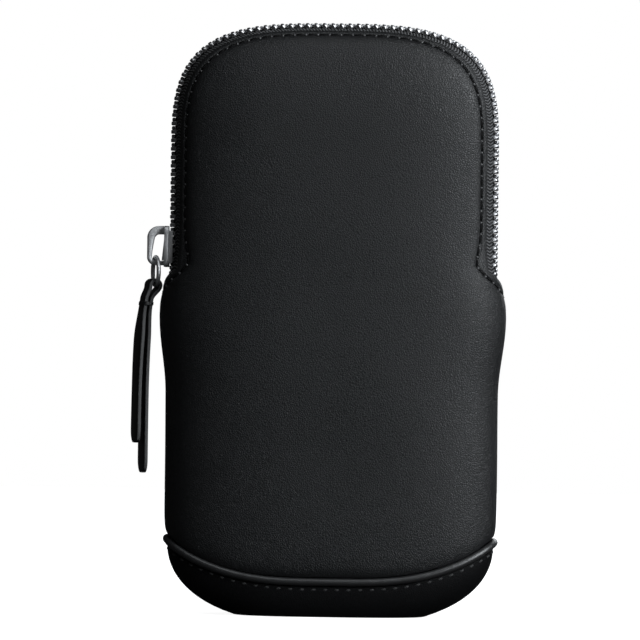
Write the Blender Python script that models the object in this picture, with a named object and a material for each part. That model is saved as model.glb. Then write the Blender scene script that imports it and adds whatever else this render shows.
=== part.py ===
"""A slim leather crossbody pouch with an arched zip, in metres, +Z up.

The pouch stands on its boot. X runs across its width, -Y is its front, and the
origin is the centre of the flat base. The zip chain lies in the plane y = 0.
"""

import math

import bmesh
import bpy
from mathutils import Matrix, Vector

# The body's outer form
BODY_HEIGHT = 0.180
BODY_WIDTH = 0.100
BODY_DEPTH = 0.032
SECTION_POWER = 3.0
ARCH_RISE = 0.040
ARCH_POWER = 3.3
HIP_SWELL = 0.0022
HIP_DROP = 0.009
HIP_REACH = 0.024
FOOT_RISE = 0.024
FOOT_CUT = 0.0035
FOOT_WIDTH_POWER = 2.4
FOOT_DEPTH_POWER = 4.0

# The piped seam, which dips across the front and back
SEAM_LOW = 0.0107
SEAM_LIFT = 0.0119
SEAM_POWER = 3.5
PIPING_RADIUS = 0.0012
PIPING_PROUD = 0.0006

# The zip's opening
FOLD_HEIGHT = 0.100
NOTCH_DROP = 0.0006
NOTCH_RISE = 0.0053
NOTCH_POWER = 1.25
MOUTH_ANGLE = math.radians(25.0)
LIP_SHARE = 0.93

# Sheet thicknesses
LEATHER = 0.0015
FOAM = 0.0020
LINING = 0.0006
TAPE = 0.0006
BOARD = 0.0019

# Clearances
CLEARANCE = 0.0003
SIDE_GAP = 0.0004
FOLD_GAP = 0.0006
MERGE_REACH = CLEARANCE / 100

# The zip chain
TOOTH_PITCH = 0.0026
TOOTH_THICKNESS = 0.00125
CHAIN_THICKNESS = 0.0022
TOOTH_TIP = 0.00055
TOOTH_ROOT = 0.0019
BEAD_EDGE = 0.0031
STOP_LENGTH = 0.0016
BOTTOM_STOP_REACH = 0.0013

# The slider, its ring and the leather pull
SLIDER_STAND = 0.0052
SLIDER_LENGTH = 0.0125
SLIDER_WIDTH = 0.0100
SLIDER_PLATE = 0.0012
SLIDER_POST = 0.0005
BAIL_REACH = 0.0051
BAIL_THICKNESS = 0.0012
BAIL_WIDTH = 0.0014
RING_RADIUS = 0.0044
RING_WIRE = 0.0006
RING_TURN = math.radians(12.0)
PULL_WIDTH = 0.0080
PULL_NECK_WIDTH = 0.0040
PULL_THICKNESS = 0.0011
PULL_LOOP_RADIUS = 0.0022
PULL_TAIL_GAP = 0.0006
PULL_TIE_HEIGHT = 0.0020
LONG_TAIL_LENGTH = 0.0526
SHORT_TAIL_LENGTH = 0.0435
PULL_LEAN = 0.045

# The two strap anchors on the back
ANCHOR_SPACING = 0.054
ANCHOR_HEIGHT = 0.136
TAB_HEIGHT = 0.016
TAB_WIDTH = 0.013
TAB_THICKNESS = 0.0010
LINK_WIDTH = 0.021
LINK_DROP = 0.011
LINK_THICKNESS = 0.0018
LINK_CORNER = 0.0030

THREAD_RADIUS = 0.0003
LIP_STITCH_INSET = 0.0024
BOOT_STITCH_INSET = 0.0008

# How finely the sheets are divided
COLUMNS_PER_HALF = 7
EDGE_COLUMN_SHARE = 0.93
ARCH_ROWS = 5

# Values that follow from those above
HALF_WIDTH = BODY_WIDTH / 2
HALF_DEPTH = BODY_DEPTH / 2
HIP_HEIGHT = FOLD_HEIGHT - HIP_DROP
NOTCH_LOW = FOLD_HEIGHT - NOTCH_DROP
SLIDER_LOW = FOLD_HEIGHT + SLIDER_STAND
ANCHOR_ACROSS = ANCHOR_SPACING / 2
ANCHOR_TOP = ANCHOR_HEIGHT + TAB_HEIGHT
ARCH_BASE = BODY_HEIGHT - ARCH_RISE
FOAM_INSET = LEATHER + CLEARANCE
LINING_INSET = FOAM_INSET + FOAM + CLEARANCE
TAPE_INSET = LEATHER + CLEARANCE
LIP_DEPTH = HALF_DEPTH * (1 - LIP_SHARE ** SECTION_POWER) ** (1 / SECTION_POWER)
NOTCH_TOP = NOTCH_LOW + NOTCH_RISE
INNER_COLUMNS = [i / COLUMNS_PER_HALF for i in range(1 - COLUMNS_PER_HALF, COLUMNS_PER_HALF)]
COLUMN_SHARES = [-1.0, -EDGE_COLUMN_SHARE] + INNER_COLUMNS + [EDGE_COLUMN_SHARE, 1.0]
FRONT = -1
REAR = 1

FINISHES = {
    "leather": ((0.012, 0.012, 0.013), 0.42, 0.0),
    "cord": ((0.020, 0.020, 0.021), 0.38, 0.0),
    "fabric": ((0.018, 0.018, 0.019), 0.85, 0.0),
    "foam": ((0.060, 0.060, 0.062), 0.95, 0.0),
    "board": ((0.045, 0.042, 0.040), 0.90, 0.0),
    "thread": ((0.010, 0.010, 0.010), 0.60, 0.0),
    "metal": ((0.720, 0.720, 0.730), 0.25, 1.0),
}


for old in list(bpy.data.objects):
    bpy.data.objects.remove(old, do_unlink=True)


# Making objects


def finish(thing, look):
    """Give an object its own material, with the colour, roughness and metallic value of its finish."""
    colour, roughness, metallic = FINISHES[look]
    material = bpy.data.materials.new(thing.name)
    material.use_nodes = True
    shader = material.node_tree.nodes["Principled BSDF"]
    shader.inputs["Base Color"].default_value = (*colour, 1.0)
    shader.inputs["Roughness"].default_value = roughness
    shader.inputs["Metallic"].default_value = metallic
    thing.data.materials.append(material)
    return thing


def show(name, data, look):
    thing = bpy.data.objects.new(name, data)
    bpy.context.scene.collection.objects.link(thing)
    return finish(thing, look)


def solid(name, shape, look):
    """Turn a bmesh into a named object whose faces point outwards."""
    bmesh.ops.recalc_face_normals(shape, faces=shape.faces)
    mesh = bpy.data.meshes.new(name)
    shape.to_mesh(mesh)
    shape.free()
    return show(name, mesh, look)


def joined(thing, tool, operation):
    """Let a helper shape add to or cut an object."""
    tool.hide_render = True
    tool.display_type = "WIRE"
    change = thing.modifiers.new(tool.name, "BOOLEAN")
    change.operation = operation
    change.object = tool
    return thing


def lerp(low, high, share):
    return low + (high - low) * share


# The outer form: every sheet of the body is this surface, set in by some depth


def foot_share(z, inset):
    return max(0.0, (FOOT_RISE - z) / (FOOT_RISE + FOOT_CUT - inset))


def half_width(z, inset):
    swell = 0.0
    if abs(z - HIP_HEIGHT) < HIP_REACH:
        swell = HIP_SWELL * (1 + math.cos(math.pi * (z - HIP_HEIGHT) / HIP_REACH)) / 2
    taper = (1 - foot_share(z, inset) ** FOOT_WIDTH_POWER) ** (1 / FOOT_WIDTH_POWER)
    return (HALF_WIDTH + swell - inset) * taper


def half_depth(z, inset):
    taper = (1 - foot_share(z, inset) ** FOOT_DEPTH_POWER) ** (1 / FOOT_DEPTH_POWER)
    return (HALF_DEPTH - inset) * taper


def bow(reach_share):
    """How deep the section is, as a share of its half depth, at a share of its half width."""
    return max(0.0, 1 - reach_share ** SECTION_POWER) ** (1 / SECTION_POWER)


def surface(across_share, height, inset, side):
    """A point on the form. Above the arch's base, heights are those of the middle line."""
    if height <= ARCH_BASE:
        reach_share = abs(across_share)
        x = half_width(height, inset) * across_share
        depth = half_depth(height, inset)
        z = height
    else:
        up_share = (height - ARCH_BASE) / ARCH_RISE
        reach_share = max(abs(across_share), up_share)
        spread = abs(across_share) ** ARCH_POWER + up_share**ARCH_POWER
        scale = reach_share / spread ** (1 / ARCH_POWER)
        x = (HALF_WIDTH - inset) * across_share * scale
        z = ARCH_BASE + (ARCH_RISE - inset) * up_share * scale
        depth = HALF_DEPTH - inset
    return Vector((x, side * depth * bow(reach_share), z))


def depth_angle(depth):
    """The angle round the section at which the outer surface lies this deep."""
    return math.asin((depth / HALF_DEPTH) ** (SECTION_POWER / 2))


def share_at(angle):
    return max(0.0, math.cos(angle)) ** (2 / SECTION_POWER)


def edge_angle(height):
    """Where a panel ends: at the side seam, round the notch's curve, or at the zip's lip."""
    depth = LIP_DEPTH
    if height < NOTCH_TOP:
        rise_share = max(0.0, (height - NOTCH_LOW) / NOTCH_RISE)
        depth = LIP_DEPTH * rise_share ** (1 / NOTCH_POWER)
    return depth_angle(max(depth, SIDE_GAP / 2))


def across(column_share, edge):
    angle = lerp(edge, math.pi / 2, 1 - abs(column_share))
    return math.copysign(share_at(angle), column_share)


def seam_height(across_share):
    return SEAM_LOW + SEAM_LIFT * abs(across_share) ** SEAM_POWER


def seam_side(across_share, margin):
    """How far above or below the seam an edge lies that keeps its margin on the seam's slope."""
    slope = SEAM_LIFT * SEAM_POWER * abs(across_share) ** (SEAM_POWER - 1) / HALF_WIDTH
    return margin * math.hypot(1, slope)


def fold_plane(depth):
    """The height above which a point of the flap clears the lower body when the mouth is open."""
    return FOLD_HEIGHT + FOLD_GAP + depth * math.tan(MOUTH_ANGLE)


def flap_low(across_share, inset):
    return fold_plane((HALF_DEPTH - inset) * bow(abs(across_share)))


# A row of a sheet is the height that sets its edge, and its own height at each place across


def level(height):
    return (height, lambda across_share, inset: height)


def rows_from_seam(margin, shares, top):
    """Rows that start along the piped seam and straighten towards a level top."""

    def row(share):
        def height_at(across_share, inset):
            low = seam_height(across_share) + seam_side(across_share, margin)
            return lerp(low, top, share)

        return height_at

    return [(NOTCH_LOW, row(share)) for share in shares]


def rows_from_fold(shares):
    def row(share):
        return lambda across_share, inset: lerp(flap_low(across_share, inset), ARCH_BASE, share)

    return [(NOTCH_TOP, row(share)) for share in shares]


def rows_from_floor(shares):
    def row(share):
        return lambda across_share, inset: lerp(inset, NOTCH_LOW, share)

    return [(NOTCH_LOW, row(share)) for share in shares]


def rows_of_arch(last):
    lip = depth_angle(LIP_DEPTH)
    rows = []
    for i in range(1, last + 1):
        up_share = share_at(lerp(math.pi / 2, lip, i / ARCH_ROWS))
        rows.append(level(ARCH_BASE + ARCH_RISE * up_share))
    return rows


def grid(rows, inset, side, columns):
    points = []
    for edge_height, height_at in rows:
        edge = edge_angle(edge_height)
        shares = [across(column, edge) for column in columns]
        points.append([surface(s, height_at(s, inset), inset, side) for s in shares])
    return points


def sheet(name, outer, inner, look):
    """A closed solid between two grids of points that lie one behind the other."""
    shape = bmesh.new()
    skins = [[[shape.verts.new(p) for p in row] for row in skin] for skin in (outer, inner)]
    for skin in skins:
        for low, high in zip(skin, skin[1:]):
            for i in range(len(low) - 1):
                shape.faces.new((low[i], low[i + 1], high[i + 1], high[i]))
    front, back = skins
    for row in (0, -1):
        for i in range(len(front[row]) - 1):
            shape.faces.new((front[row][i], front[row][i + 1], back[row][i + 1], back[row][i]))
    for column in (0, -1):
        for j in range(len(front) - 1):
            shape.faces.new(
                (front[j][column], front[j + 1][column], back[j + 1][column], back[j][column])
            )
    bmesh.ops.remove_doubles(shape, verts=shape.verts, dist=MERGE_REACH)
    bmesh.ops.dissolve_degenerate(shape, edges=shape.edges, dist=MERGE_REACH)
    return solid(name, shape, look)


def layer(name, rows, inset, thickness, side, look, columns):
    outer = grid(rows, inset, side, columns)
    inner = grid(rows, inset + thickness, side, columns)
    return sheet(name, outer, inner, look)


# The leather panels: a lower front, a flap above the fold, and a back in one piece

LOWER_SHARES = [0.0, 0.12, 0.32, 0.56, 0.78, 0.92, 1.0]
NOTCH_SHARES = [0.28, 1.0]
NOTCH_HIGH_SHARES = [0.22, 0.48, 0.74, 1.0]
LEG_SHARES = [0.5, 1.0]
FLAP_SHARES = [0.0, 0.36, 0.70, 1.0]
SEAM_MARGIN = PIPING_RADIUS + CLEARANCE

notch_rows = [level(lerp(NOTCH_LOW, FOLD_HEIGHT, share)) for share in NOTCH_SHARES]
notch_high_rows = [level(lerp(FOLD_HEIGHT, NOTCH_TOP, share)) for share in NOTCH_HIGH_SHARES]
leg_rows = [level(lerp(NOTCH_TOP, ARCH_BASE, share)) for share in LEG_SHARES]
lower_rows = rows_from_seam(SEAM_MARGIN, LOWER_SHARES, NOTCH_LOW) + notch_rows
rear_rows = lower_rows + notch_high_rows + leg_rows + rows_of_arch(ARCH_ROWS)
flap_rows = rows_from_fold(FLAP_SHARES) + rows_of_arch(ARCH_ROWS)
fold_rows = [
    level(FOLD_HEIGHT + CLEARANCE),
    (NOTCH_TOP, lambda across_share, inset: flap_low(across_share, inset) - CLEARANCE),
]

layer("front_panel", lower_rows, 0.0, LEATHER, FRONT, "leather", COLUMN_SHARES)
layer("front_flap", flap_rows, 0.0, LEATHER, FRONT, "leather", COLUMN_SHARES)
layer("fold_leather", fold_rows, 0.0, LEATHER, FRONT, "leather", COLUMN_SHARES)
layer("rear_panel", rear_rows, 0.0, LEATHER, REAR, "leather", COLUMN_SHARES)

# Foam behind each leather face, clear of the piping and of the sewn edges

FOAM_REACH_SHARE = 0.6
FOAM_ARCH_ROWS = 3
FOAM_MARGIN = SEAM_MARGIN + LEATHER
foam_columns = [share for share in COLUMN_SHARES if abs(share) < FOAM_REACH_SHARE]
foam_seam_rows = rows_from_seam(FOAM_MARGIN, LOWER_SHARES, NOTCH_LOW)


def upright(rows):
    """The same rows with their side edges in line with the lips, clear of the tapes."""
    return [(NOTCH_TOP, height_at) for _, height_at in rows]


foam_low_rows = upright(foam_seam_rows + notch_rows)
foam_rear_rows = upright(foam_seam_rows + notch_rows + notch_high_rows + leg_rows)
foam_rear_rows += rows_of_arch(FOAM_ARCH_ROWS)
foam_flap_rows = rows_from_fold(FLAP_SHARES) + rows_of_arch(FOAM_ARCH_ROWS)

layer("front_foam", foam_low_rows, FOAM_INSET, FOAM, FRONT, "foam", foam_columns)
layer("flap_foam", foam_flap_rows, FOAM_INSET, FOAM, FRONT, "foam", foam_columns)
layer("rear_foam", foam_rear_rows, FOAM_INSET, FOAM, REAR, "foam", foam_columns)

# The lining: a front and a back, each with half of the floor, and the flap's own

FLOOR_SHARES = [0.0, 0.03, 0.09, 0.17, 0.34, 0.58, 0.80, 1.0]
floor_rows = rows_from_floor(FLOOR_SHARES) + notch_rows
floor_rear_rows = floor_rows + notch_high_rows + leg_rows + rows_of_arch(ARCH_ROWS)


def with_floor(points):
    """Add the row where a half lining's floor meets the other half, under the middle."""
    edge = points[0]
    middle = [Vector((p.x, edge[0].y, p.z)) for p in edge]
    return [middle] + points


def lining(name, rows, side):
    outer = with_floor(grid(rows, LINING_INSET, side, COLUMN_SHARES))
    inner = with_floor(grid(rows, LINING_INSET + LINING, side, COLUMN_SHARES))
    return sheet(name, outer, inner, "fabric")


lining("front_lining", floor_rows, FRONT)
lining("rear_lining", floor_rear_rows, REAR)
layer("flap_lining", flap_rows, LINING_INSET, LINING, FRONT, "fabric", COLUMN_SHARES)
layer("fold_lining", fold_rows, LINING_INSET, LINING, FRONT, "fabric", COLUMN_SHARES)

# The boot: one leather cup round the foot, with a stiff board on its floor


def ring(height_at, inset, columns):
    """A closed loop of points round the body, front then back."""
    shares = [across(column, 0.0) for column in columns]
    front = [surface(s, height_at(s), inset, FRONT) for s in shares]
    back = [surface(s, height_at(s), inset, REAR) for s in reversed(shares[1:-1])]
    return front + back


def lofted(name, rings, look):
    """A closed solid through rings of points, with a flat cap on the first and the last."""
    shape = bmesh.new()
    loops = [[shape.verts.new(p) for p in points] for points in rings]
    for low, high in zip(loops, loops[1:]):
        for i in range(len(low)):
            j = (i + 1) % len(low)
            shape.faces.new((low[i], low[j], high[j], high[i]))
    shape.faces.new(loops[0])
    shape.faces.new(loops[-1])
    return solid(name, shape, look)


BOOT_SHARES = [0.0, 0.10, 0.26, 0.50, 0.75, 1.0]


def boot_ring(share, inset):
    def height_at(across_share):
        high = seam_height(across_share) - seam_side(across_share, SEAM_MARGIN)
        return lerp(inset, high, share)

    return ring(height_at, inset, COLUMN_SHARES)


boot_outside = [boot_ring(share, 0.0) for share in BOOT_SHARES]
boot_inside = [boot_ring(share, LEATHER) for share in reversed(BOOT_SHARES)]
lofted("boot", boot_outside + boot_inside, "leather")

BOARD_INSET = LEATHER + CLEARANCE
board_rings = [
    ring(lambda s: BOARD_INSET, BOARD_INSET, COLUMN_SHARES),
    ring(lambda s: BOARD_INSET + BOARD, BOARD_INSET + BOARD, COLUMN_SHARES),
]
lofted("base_board", board_rings, "board")

# Round cords and thread lines: the piping and the topstitching


def cord(name, points, radius, sides_step, closed, look):
    curve = bpy.data.curves.new(name, "CURVE")
    curve.dimensions = "3D"
    curve.bevel_depth = radius
    curve.bevel_resolution = sides_step
    curve.use_fill_caps = not closed
    spline = curve.splines.new("POLY")
    spline.points.add(len(points) - 1)
    for target, point in zip(spline.points, points):
        target.co = (*point, 1.0)
    spline.use_cyclic_u = closed
    return show(name, curve, look)


PIPING_COLUMNS = 13
piping_shares = [i / PIPING_COLUMNS - 1 for i in range(2 * PIPING_COLUMNS + 1)]
piping_line = ring(seam_height, PIPING_RADIUS - PIPING_PROUD, piping_shares)
cord("piping", piping_line, PIPING_RADIUS, 1, True, "cord")

BOOT_STITCH_DROP = SEAM_MARGIN + BOOT_STITCH_INSET


def boot_stitch_height(across_share):
    return seam_height(across_share) - seam_side(across_share, BOOT_STITCH_DROP)


THREAD_STAND = THREAD_RADIUS + CLEARANCE
boot_stitch_line = ring(boot_stitch_height, -THREAD_STAND, COLUMN_SHARES)
cord("boot_stitch", boot_stitch_line, THREAD_RADIUS, 0, True, "thread")

# The rim: stations up one leg of the arch, over it and down the other leg

RIM_LEG_SHARES = [0.0, 0.06, 0.16, 0.5, 1.0]


def arch_stations():
    lip = depth_angle(LIP_DEPTH)
    side_shares = [share_at(lerp(math.pi / 2, lip, i / ARCH_ROWS)) for i in range(1, ARCH_ROWS + 1)]
    top_shares = [across(column, lip) for column in COLUMN_SHARES[1:-1]]
    corners = [(-LIP_SHARE, s) for s in side_shares]
    corners += [(s, LIP_SHARE) for s in top_shares]
    corners += [(LIP_SHARE, s) for s in reversed(side_shares)]
    stations = []
    for a, b in corners:
        size = (abs(a) ** ARCH_POWER + b**ARCH_POWER) ** (1 / ARCH_POWER)
        stations.append((a / size, b / size))
    return stations


def rim_line(reach_share, inset, side, low_at):
    """Points along the rim, at a share of the way out from the middle."""
    depth = (HALF_DEPTH - inset) * bow(reach_share)
    low = low_at(depth)
    left = []
    for share in RIM_LEG_SHARES:
        height = lerp(low, ARCH_BASE, share)
        left.append(surface(-reach_share, height, inset, side))
    right = [Vector((-p.x, p.y, p.z)) for p in reversed(left)]
    arch = []
    for a, b in arch_stations():
        x = (HALF_WIDTH - inset) * reach_share * a
        z = ARCH_BASE + (ARCH_RISE - inset) * reach_share * b
        arch.append(Vector((x, side * depth, z)))
    return left + arch + right


REAR_TAPE_STAND = 0.0016


def rear_low(depth):
    """The rear tape starts where the notch's edge has come round in front of it."""
    return FOLD_HEIGHT + REAR_TAPE_STAND


# The zip tapes run from under the leather lips to the tooth rows

TAPE_SEWN_SHARE = 0.80
TAPE_EDGE = BEAD_EDGE + CLEARANCE
TAPE_MIDDLE_SHARE = 0.5


def reach_at(depth, inset):
    return (1 - (depth / (HALF_DEPTH - inset)) ** SECTION_POWER) ** (1 / SECTION_POWER)


def tape_grid(inset, side, low_at):
    outer_share = reach_at(TAPE_EDGE, inset)
    lip_share = LIP_SHARE
    middle_share = lerp(lip_share, outer_share, TAPE_MIDDLE_SHARE)
    shares = [TAPE_SEWN_SHARE, lip_share, middle_share, outer_share]
    return [rim_line(share, inset, side, low_at) for share in shares]


def tape(name, side, low_at):
    outer = tape_grid(TAPE_INSET, side, low_at)
    inner = tape_grid(TAPE_INSET + TAPE, side, low_at)
    return sheet(name, outer, inner, "fabric")


tape("front_tape", FRONT, fold_plane)
tape("rear_tape", REAR, rear_low)

# A tab of tape closes each lower end of the zip, inside the leather notch

TAB_DROP = 0.004
TAB_INSET = TAPE_INSET + CLEARANCE
TAB_ROWS_SHARES = [0.0, 0.5, 1.0]
TAB_ACROSS_SHARES = [-1.0, -0.6, -0.2, 0.2, 0.6, 1.0]


def end_tab_grid(inset, hand):
    points = []
    for row_share in TAB_ROWS_SHARES:
        height = lerp(NOTCH_LOW - TAB_DROP, FOLD_HEIGHT - CLEARANCE, row_share)
        row = []
        for depth_share in TAB_ACROSS_SHARES:
            depth = abs(depth_share) * LIP_DEPTH
            side = math.copysign(1, depth_share)
            row.append(surface(hand * reach_at(depth, inset), height, inset, side))
        points.append(row)
    return points


def end_tab(name, hand):
    outer = end_tab_grid(TAB_INSET, hand)
    inner = end_tab_grid(TAB_INSET + TAPE, hand)
    return sheet(name, outer, inner, "fabric")


end_tab("zip_end_tab_left", -1)
end_tab("zip_end_tab_right", 1)

# The topstitching along each lip

stitch_share = LIP_SHARE - LIP_STITCH_INSET / HALF_WIDTH
flap_stitch_line = rim_line(stitch_share, -THREAD_STAND, FRONT, fold_plane)
rear_stitch_line = rim_line(stitch_share, -THREAD_STAND, REAR, rear_low)
cord("flap_stitch", flap_stitch_line, THREAD_RADIUS, 0, False, "thread")
cord("rear_stitch", rear_stitch_line, THREAD_RADIUS, 0, False, "thread")

# The zip's teeth: a bead along each tape with teeth that stop short of the middle slot

CHAIN_SAMPLES = 240
CHAIN_LOW_RIGHT = fold_plane(BEAD_EDGE) + CLEARANCE
CHAIN_LOW_LEFT = CHAIN_LOW_RIGHT + STOP_LENGTH + CLEARANCE


def chain_outline():
    """Fine points (x, z) along the outside of the chain, from the left end to the right."""
    points = [(-HALF_WIDTH, CHAIN_LOW_LEFT)]
    for i in range(CHAIN_SAMPLES + 1):
        angle = math.pi * (1 - i / CHAIN_SAMPLES)
        a = math.copysign(abs(math.cos(angle)) ** (2 / ARCH_POWER), math.cos(angle))
        b = abs(math.sin(angle)) ** (2 / ARCH_POWER)
        points.append((HALF_WIDTH * a, ARCH_BASE + ARCH_RISE * b))
    points.append((HALF_WIDTH, CHAIN_LOW_RIGHT))
    return [Vector(p) for p in points]


chain_points = chain_outline()
chain_lengths = [0.0]
for start, end in zip(chain_points, chain_points[1:]):
    chain_lengths.append(chain_lengths[-1] + (end - start).length)


def chain_at(distance):
    """The outline's point and its inward direction at a distance along it."""
    i = 0
    while i < len(chain_lengths) - 2 and chain_lengths[i + 1] < distance:
        i += 1
    start, end = chain_points[i], chain_points[i + 1]
    span = chain_lengths[i + 1] - chain_lengths[i]
    place = start.lerp(end, (distance - chain_lengths[i]) / span)
    along = (end - start).normalized()
    return place, Vector((along.y, -along.x))


def tooth_row(name, side, shift_share):
    shape = bmesh.new()

    def station(distance, depths):
        place, inward = chain_at(distance)
        sunk = place + inward * CHAIN_THICKNESS
        pairs = []
        for depth in depths:
            y = side * depth
            top = shape.verts.new((place.x, y, place.y))
            under = shape.verts.new((sunk.x, y, sunk.y))
            pairs.append((top, under))
        return pairs

    def skin(a, b, c, d):
        """A plate of the row: its outer and its inner face."""
        shape.faces.new((a[0], b[0], c[0], d[0]))
        shape.faces.new((a[1], b[1], c[1], d[1]))

    def wall(a, b):
        shape.faces.new((a[0], b[0], b[1], a[1]))

    teeth = int((chain_lengths[-1] - TOOTH_PITCH) / TOOTH_PITCH)
    first = station(0.0, (BEAD_EDGE, TOOTH_ROOT))
    wall(*first)
    last = first
    for i in range(teeth):
        begin = (i + shift_share) * TOOTH_PITCH
        low = station(begin, (BEAD_EDGE, TOOTH_ROOT, TOOTH_TIP))
        high = station(begin + TOOTH_THICKNESS, (BEAD_EDGE, TOOTH_ROOT, TOOTH_TIP))
        skin(last[0], low[0], low[1], last[1])
        wall(last[0], low[0])
        wall(last[1], low[1])
        skin(low[0], high[0], high[1], low[1])
        skin(low[1], high[1], high[2], low[2])
        wall(low[0], high[0])
        wall(low[1], low[2])
        wall(low[2], high[2])
        wall(high[1], high[2])
        last = high[:2]
    final = station(chain_lengths[-1], (BEAD_EDGE, TOOTH_ROOT))
    skin(last[0], final[0], final[1], last[1])
    wall(last[0], final[0])
    wall(last[1], final[1])
    wall(*final)
    return solid(name, shape, "metal")


FRONT_SHIFT_SHARE = 0.2
REAR_SHIFT_SHARE = 0.7
tooth_row("front_teeth", FRONT, FRONT_SHIFT_SHARE)
tooth_row("rear_teeth", REAR, REAR_SHIFT_SHARE)


def block(name, low, high, look):
    """A box between two corners."""
    shape = bmesh.new()
    bmesh.ops.create_cube(shape, size=1.0)
    size = Vector(high) - Vector(low)
    middle = (Vector(high) + Vector(low)) / 2
    bmesh.ops.transform(shape, matrix=Matrix.LocRotScale(middle, None, size), verts=shape.verts)
    return solid(name, shape, look)


stop_low = CHAIN_LOW_RIGHT
stop_inner = -HALF_WIDTH + CHAIN_THICKNESS
block(
    "top_stop_front",
    (-HALF_WIDTH, -BEAD_EDGE, stop_low),
    (stop_inner, -TOOTH_TIP, stop_low + STOP_LENGTH),
    "metal",
)
block(
    "top_stop_rear",
    (-HALF_WIDTH, TOOTH_TIP, stop_low),
    (stop_inner, BEAD_EDGE, stop_low + STOP_LENGTH),
    "metal",
)
bottom_stop_low = NOTCH_LOW + NOTCH_DROP + CLEARANCE
block(
    "bottom_stop",
    (HALF_WIDTH - CHAIN_THICKNESS, -BOTTOM_STOP_REACH, bottom_stop_low),
    (HALF_WIDTH, BOTTOM_STOP_REACH, bottom_stop_low + STOP_LENGTH),
    "metal",
)

# The slider: two plates joined by a post that runs in the slot between the tooth rows

SLIDER_OUT = HALF_WIDTH + CLEARANCE
SLIDER_FACE = SLIDER_OUT + SLIDER_PLATE
SLIDER_IN = HALF_WIDTH - CHAIN_THICKNESS - CLEARANCE
TAIL_SHARE = 0.72
SHOULDER_SHARE = 0.55
THROAT_SHARE = 0.84
POST_LENGTH_SHARE = 0.33
FLANGE_WIDTH = 0.0011
FLANGE_DROP = 0.0012


def plate_outline(half):
    """(y, z) round a slider plate: wide at the throat, drawn in towards the tail."""
    top = SLIDER_LOW + SLIDER_LENGTH
    shoulder = SLIDER_LOW + SLIDER_LENGTH * (1 - SHOULDER_SHARE)
    right = [
        (half * THROAT_SHARE, SLIDER_LOW),
        (half, SLIDER_LOW + half * (1 - THROAT_SHARE)),
        (half, shoulder),
        (half * TAIL_SHARE, top - half * (1 - TAIL_SHARE)),
        (half * TAIL_SHARE * TAIL_SHARE, top),
    ]
    return right + [(-y, z) for y, z in reversed(right)]


def plate(name, x_low, x_high, outline, look):
    shape = bmesh.new()
    near = [shape.verts.new((x_low, y, z)) for y, z in outline]
    far = [shape.verts.new((x_high, y, z)) for y, z in outline]
    shape.faces.new(near)
    shape.faces.new(far)
    for i in range(len(outline)):
        j = (i + 1) % len(outline)
        shape.faces.new((near[i], near[j], far[j], far[i]))
    return solid(name, shape, look)


slider = plate("slider_body", -SLIDER_FACE, -SLIDER_OUT, plate_outline(SLIDER_WIDTH / 2), "metal")
under = plate(
    "slider_under_plate",
    -SLIDER_IN,
    -SLIDER_IN + SLIDER_PLATE,
    plate_outline(BEAD_EDGE),
    "metal",
)
post = block(
    "slider_post",
    (-SLIDER_FACE + SLIDER_PLATE / 2, -SLIDER_POST / 2, SLIDER_LOW + SLIDER_PLATE),
    (
        -SLIDER_IN + SLIDER_PLATE / 2,
        SLIDER_POST / 2,
        SLIDER_LOW + SLIDER_LENGTH * POST_LENGTH_SHARE,
    ),
    "metal",
)
flange_low = BEAD_EDGE + CLEARANCE
flange = block(
    "slider_flange",
    (-SLIDER_FACE + SLIDER_PLATE / 2, flange_low, SLIDER_LOW + SLIDER_PLATE),
    (
        -SLIDER_OUT + FLANGE_DROP,
        flange_low + FLANGE_WIDTH,
        SLIDER_LOW + SLIDER_LENGTH * SHOULDER_SHARE,
    ),
    "metal",
)
for helper in (under, post, flange):
    joined(slider, helper, "UNION")

# Strips: a flat bar or strap bent along a path in a plane


def arc(centre, radius, start, end, steps):
    points = []
    for i in range(steps + 1):
        angle = lerp(start, end, i / steps)
        points.append(
            Vector((centre[0] + radius * math.cos(angle), centre[1] + radius * math.sin(angle)))
        )
    return points


def strip(name, path, thickness, widths, frame, closed, look):
    """Bend a bar along path. frame is its origin, the path's two axes and the width's axis."""
    origin, first, second, wide = frame
    shape = bmesh.new()
    count = len(path)
    stations = []
    for i, point in enumerate(path):
        before = path[i - 1] if closed or i else point
        after = path[(i + 1) % count] if closed or i < count - 1 else point
        arriving = (point - before).normalized()
        leaving = (after - point).normalized()
        along = (arriving + leaving).normalized()
        mitre = max(along.dot(leaving), along.dot(arriving))
        normal = Vector((-along.y, along.x)) * (thickness / 2 / mitre)
        corners = []
        for sign, reach in ((1, 1), (1, -1), (-1, -1), (-1, 1)):
            flat = point + normal * sign
            place = origin + first * flat.x + second * flat.y + wide * (widths[i] / 2 * reach)
            corners.append(shape.verts.new(place))
        stations.append(corners)
    pairs = list(zip(stations, stations[1:]))
    if closed:
        pairs.append((stations[-1], stations[0]))
    else:
        shape.faces.new(stations[0])
        shape.faces.new(stations[-1])
    for low, high in pairs:
        for i in range(4):
            j = (i + 1) % 4
            shape.faces.new((low[i], low[j], high[j], high[i]))
    return solid(name, shape, look)


OUTWARD = Vector((-1.0, 0.0, 0.0))
UPWARD = Vector((0.0, 0.0, 1.0))
REARWARD = Vector((0.0, 1.0, 0.0))

# The bail: a bridge over the slider's top plate that holds the ring

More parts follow.
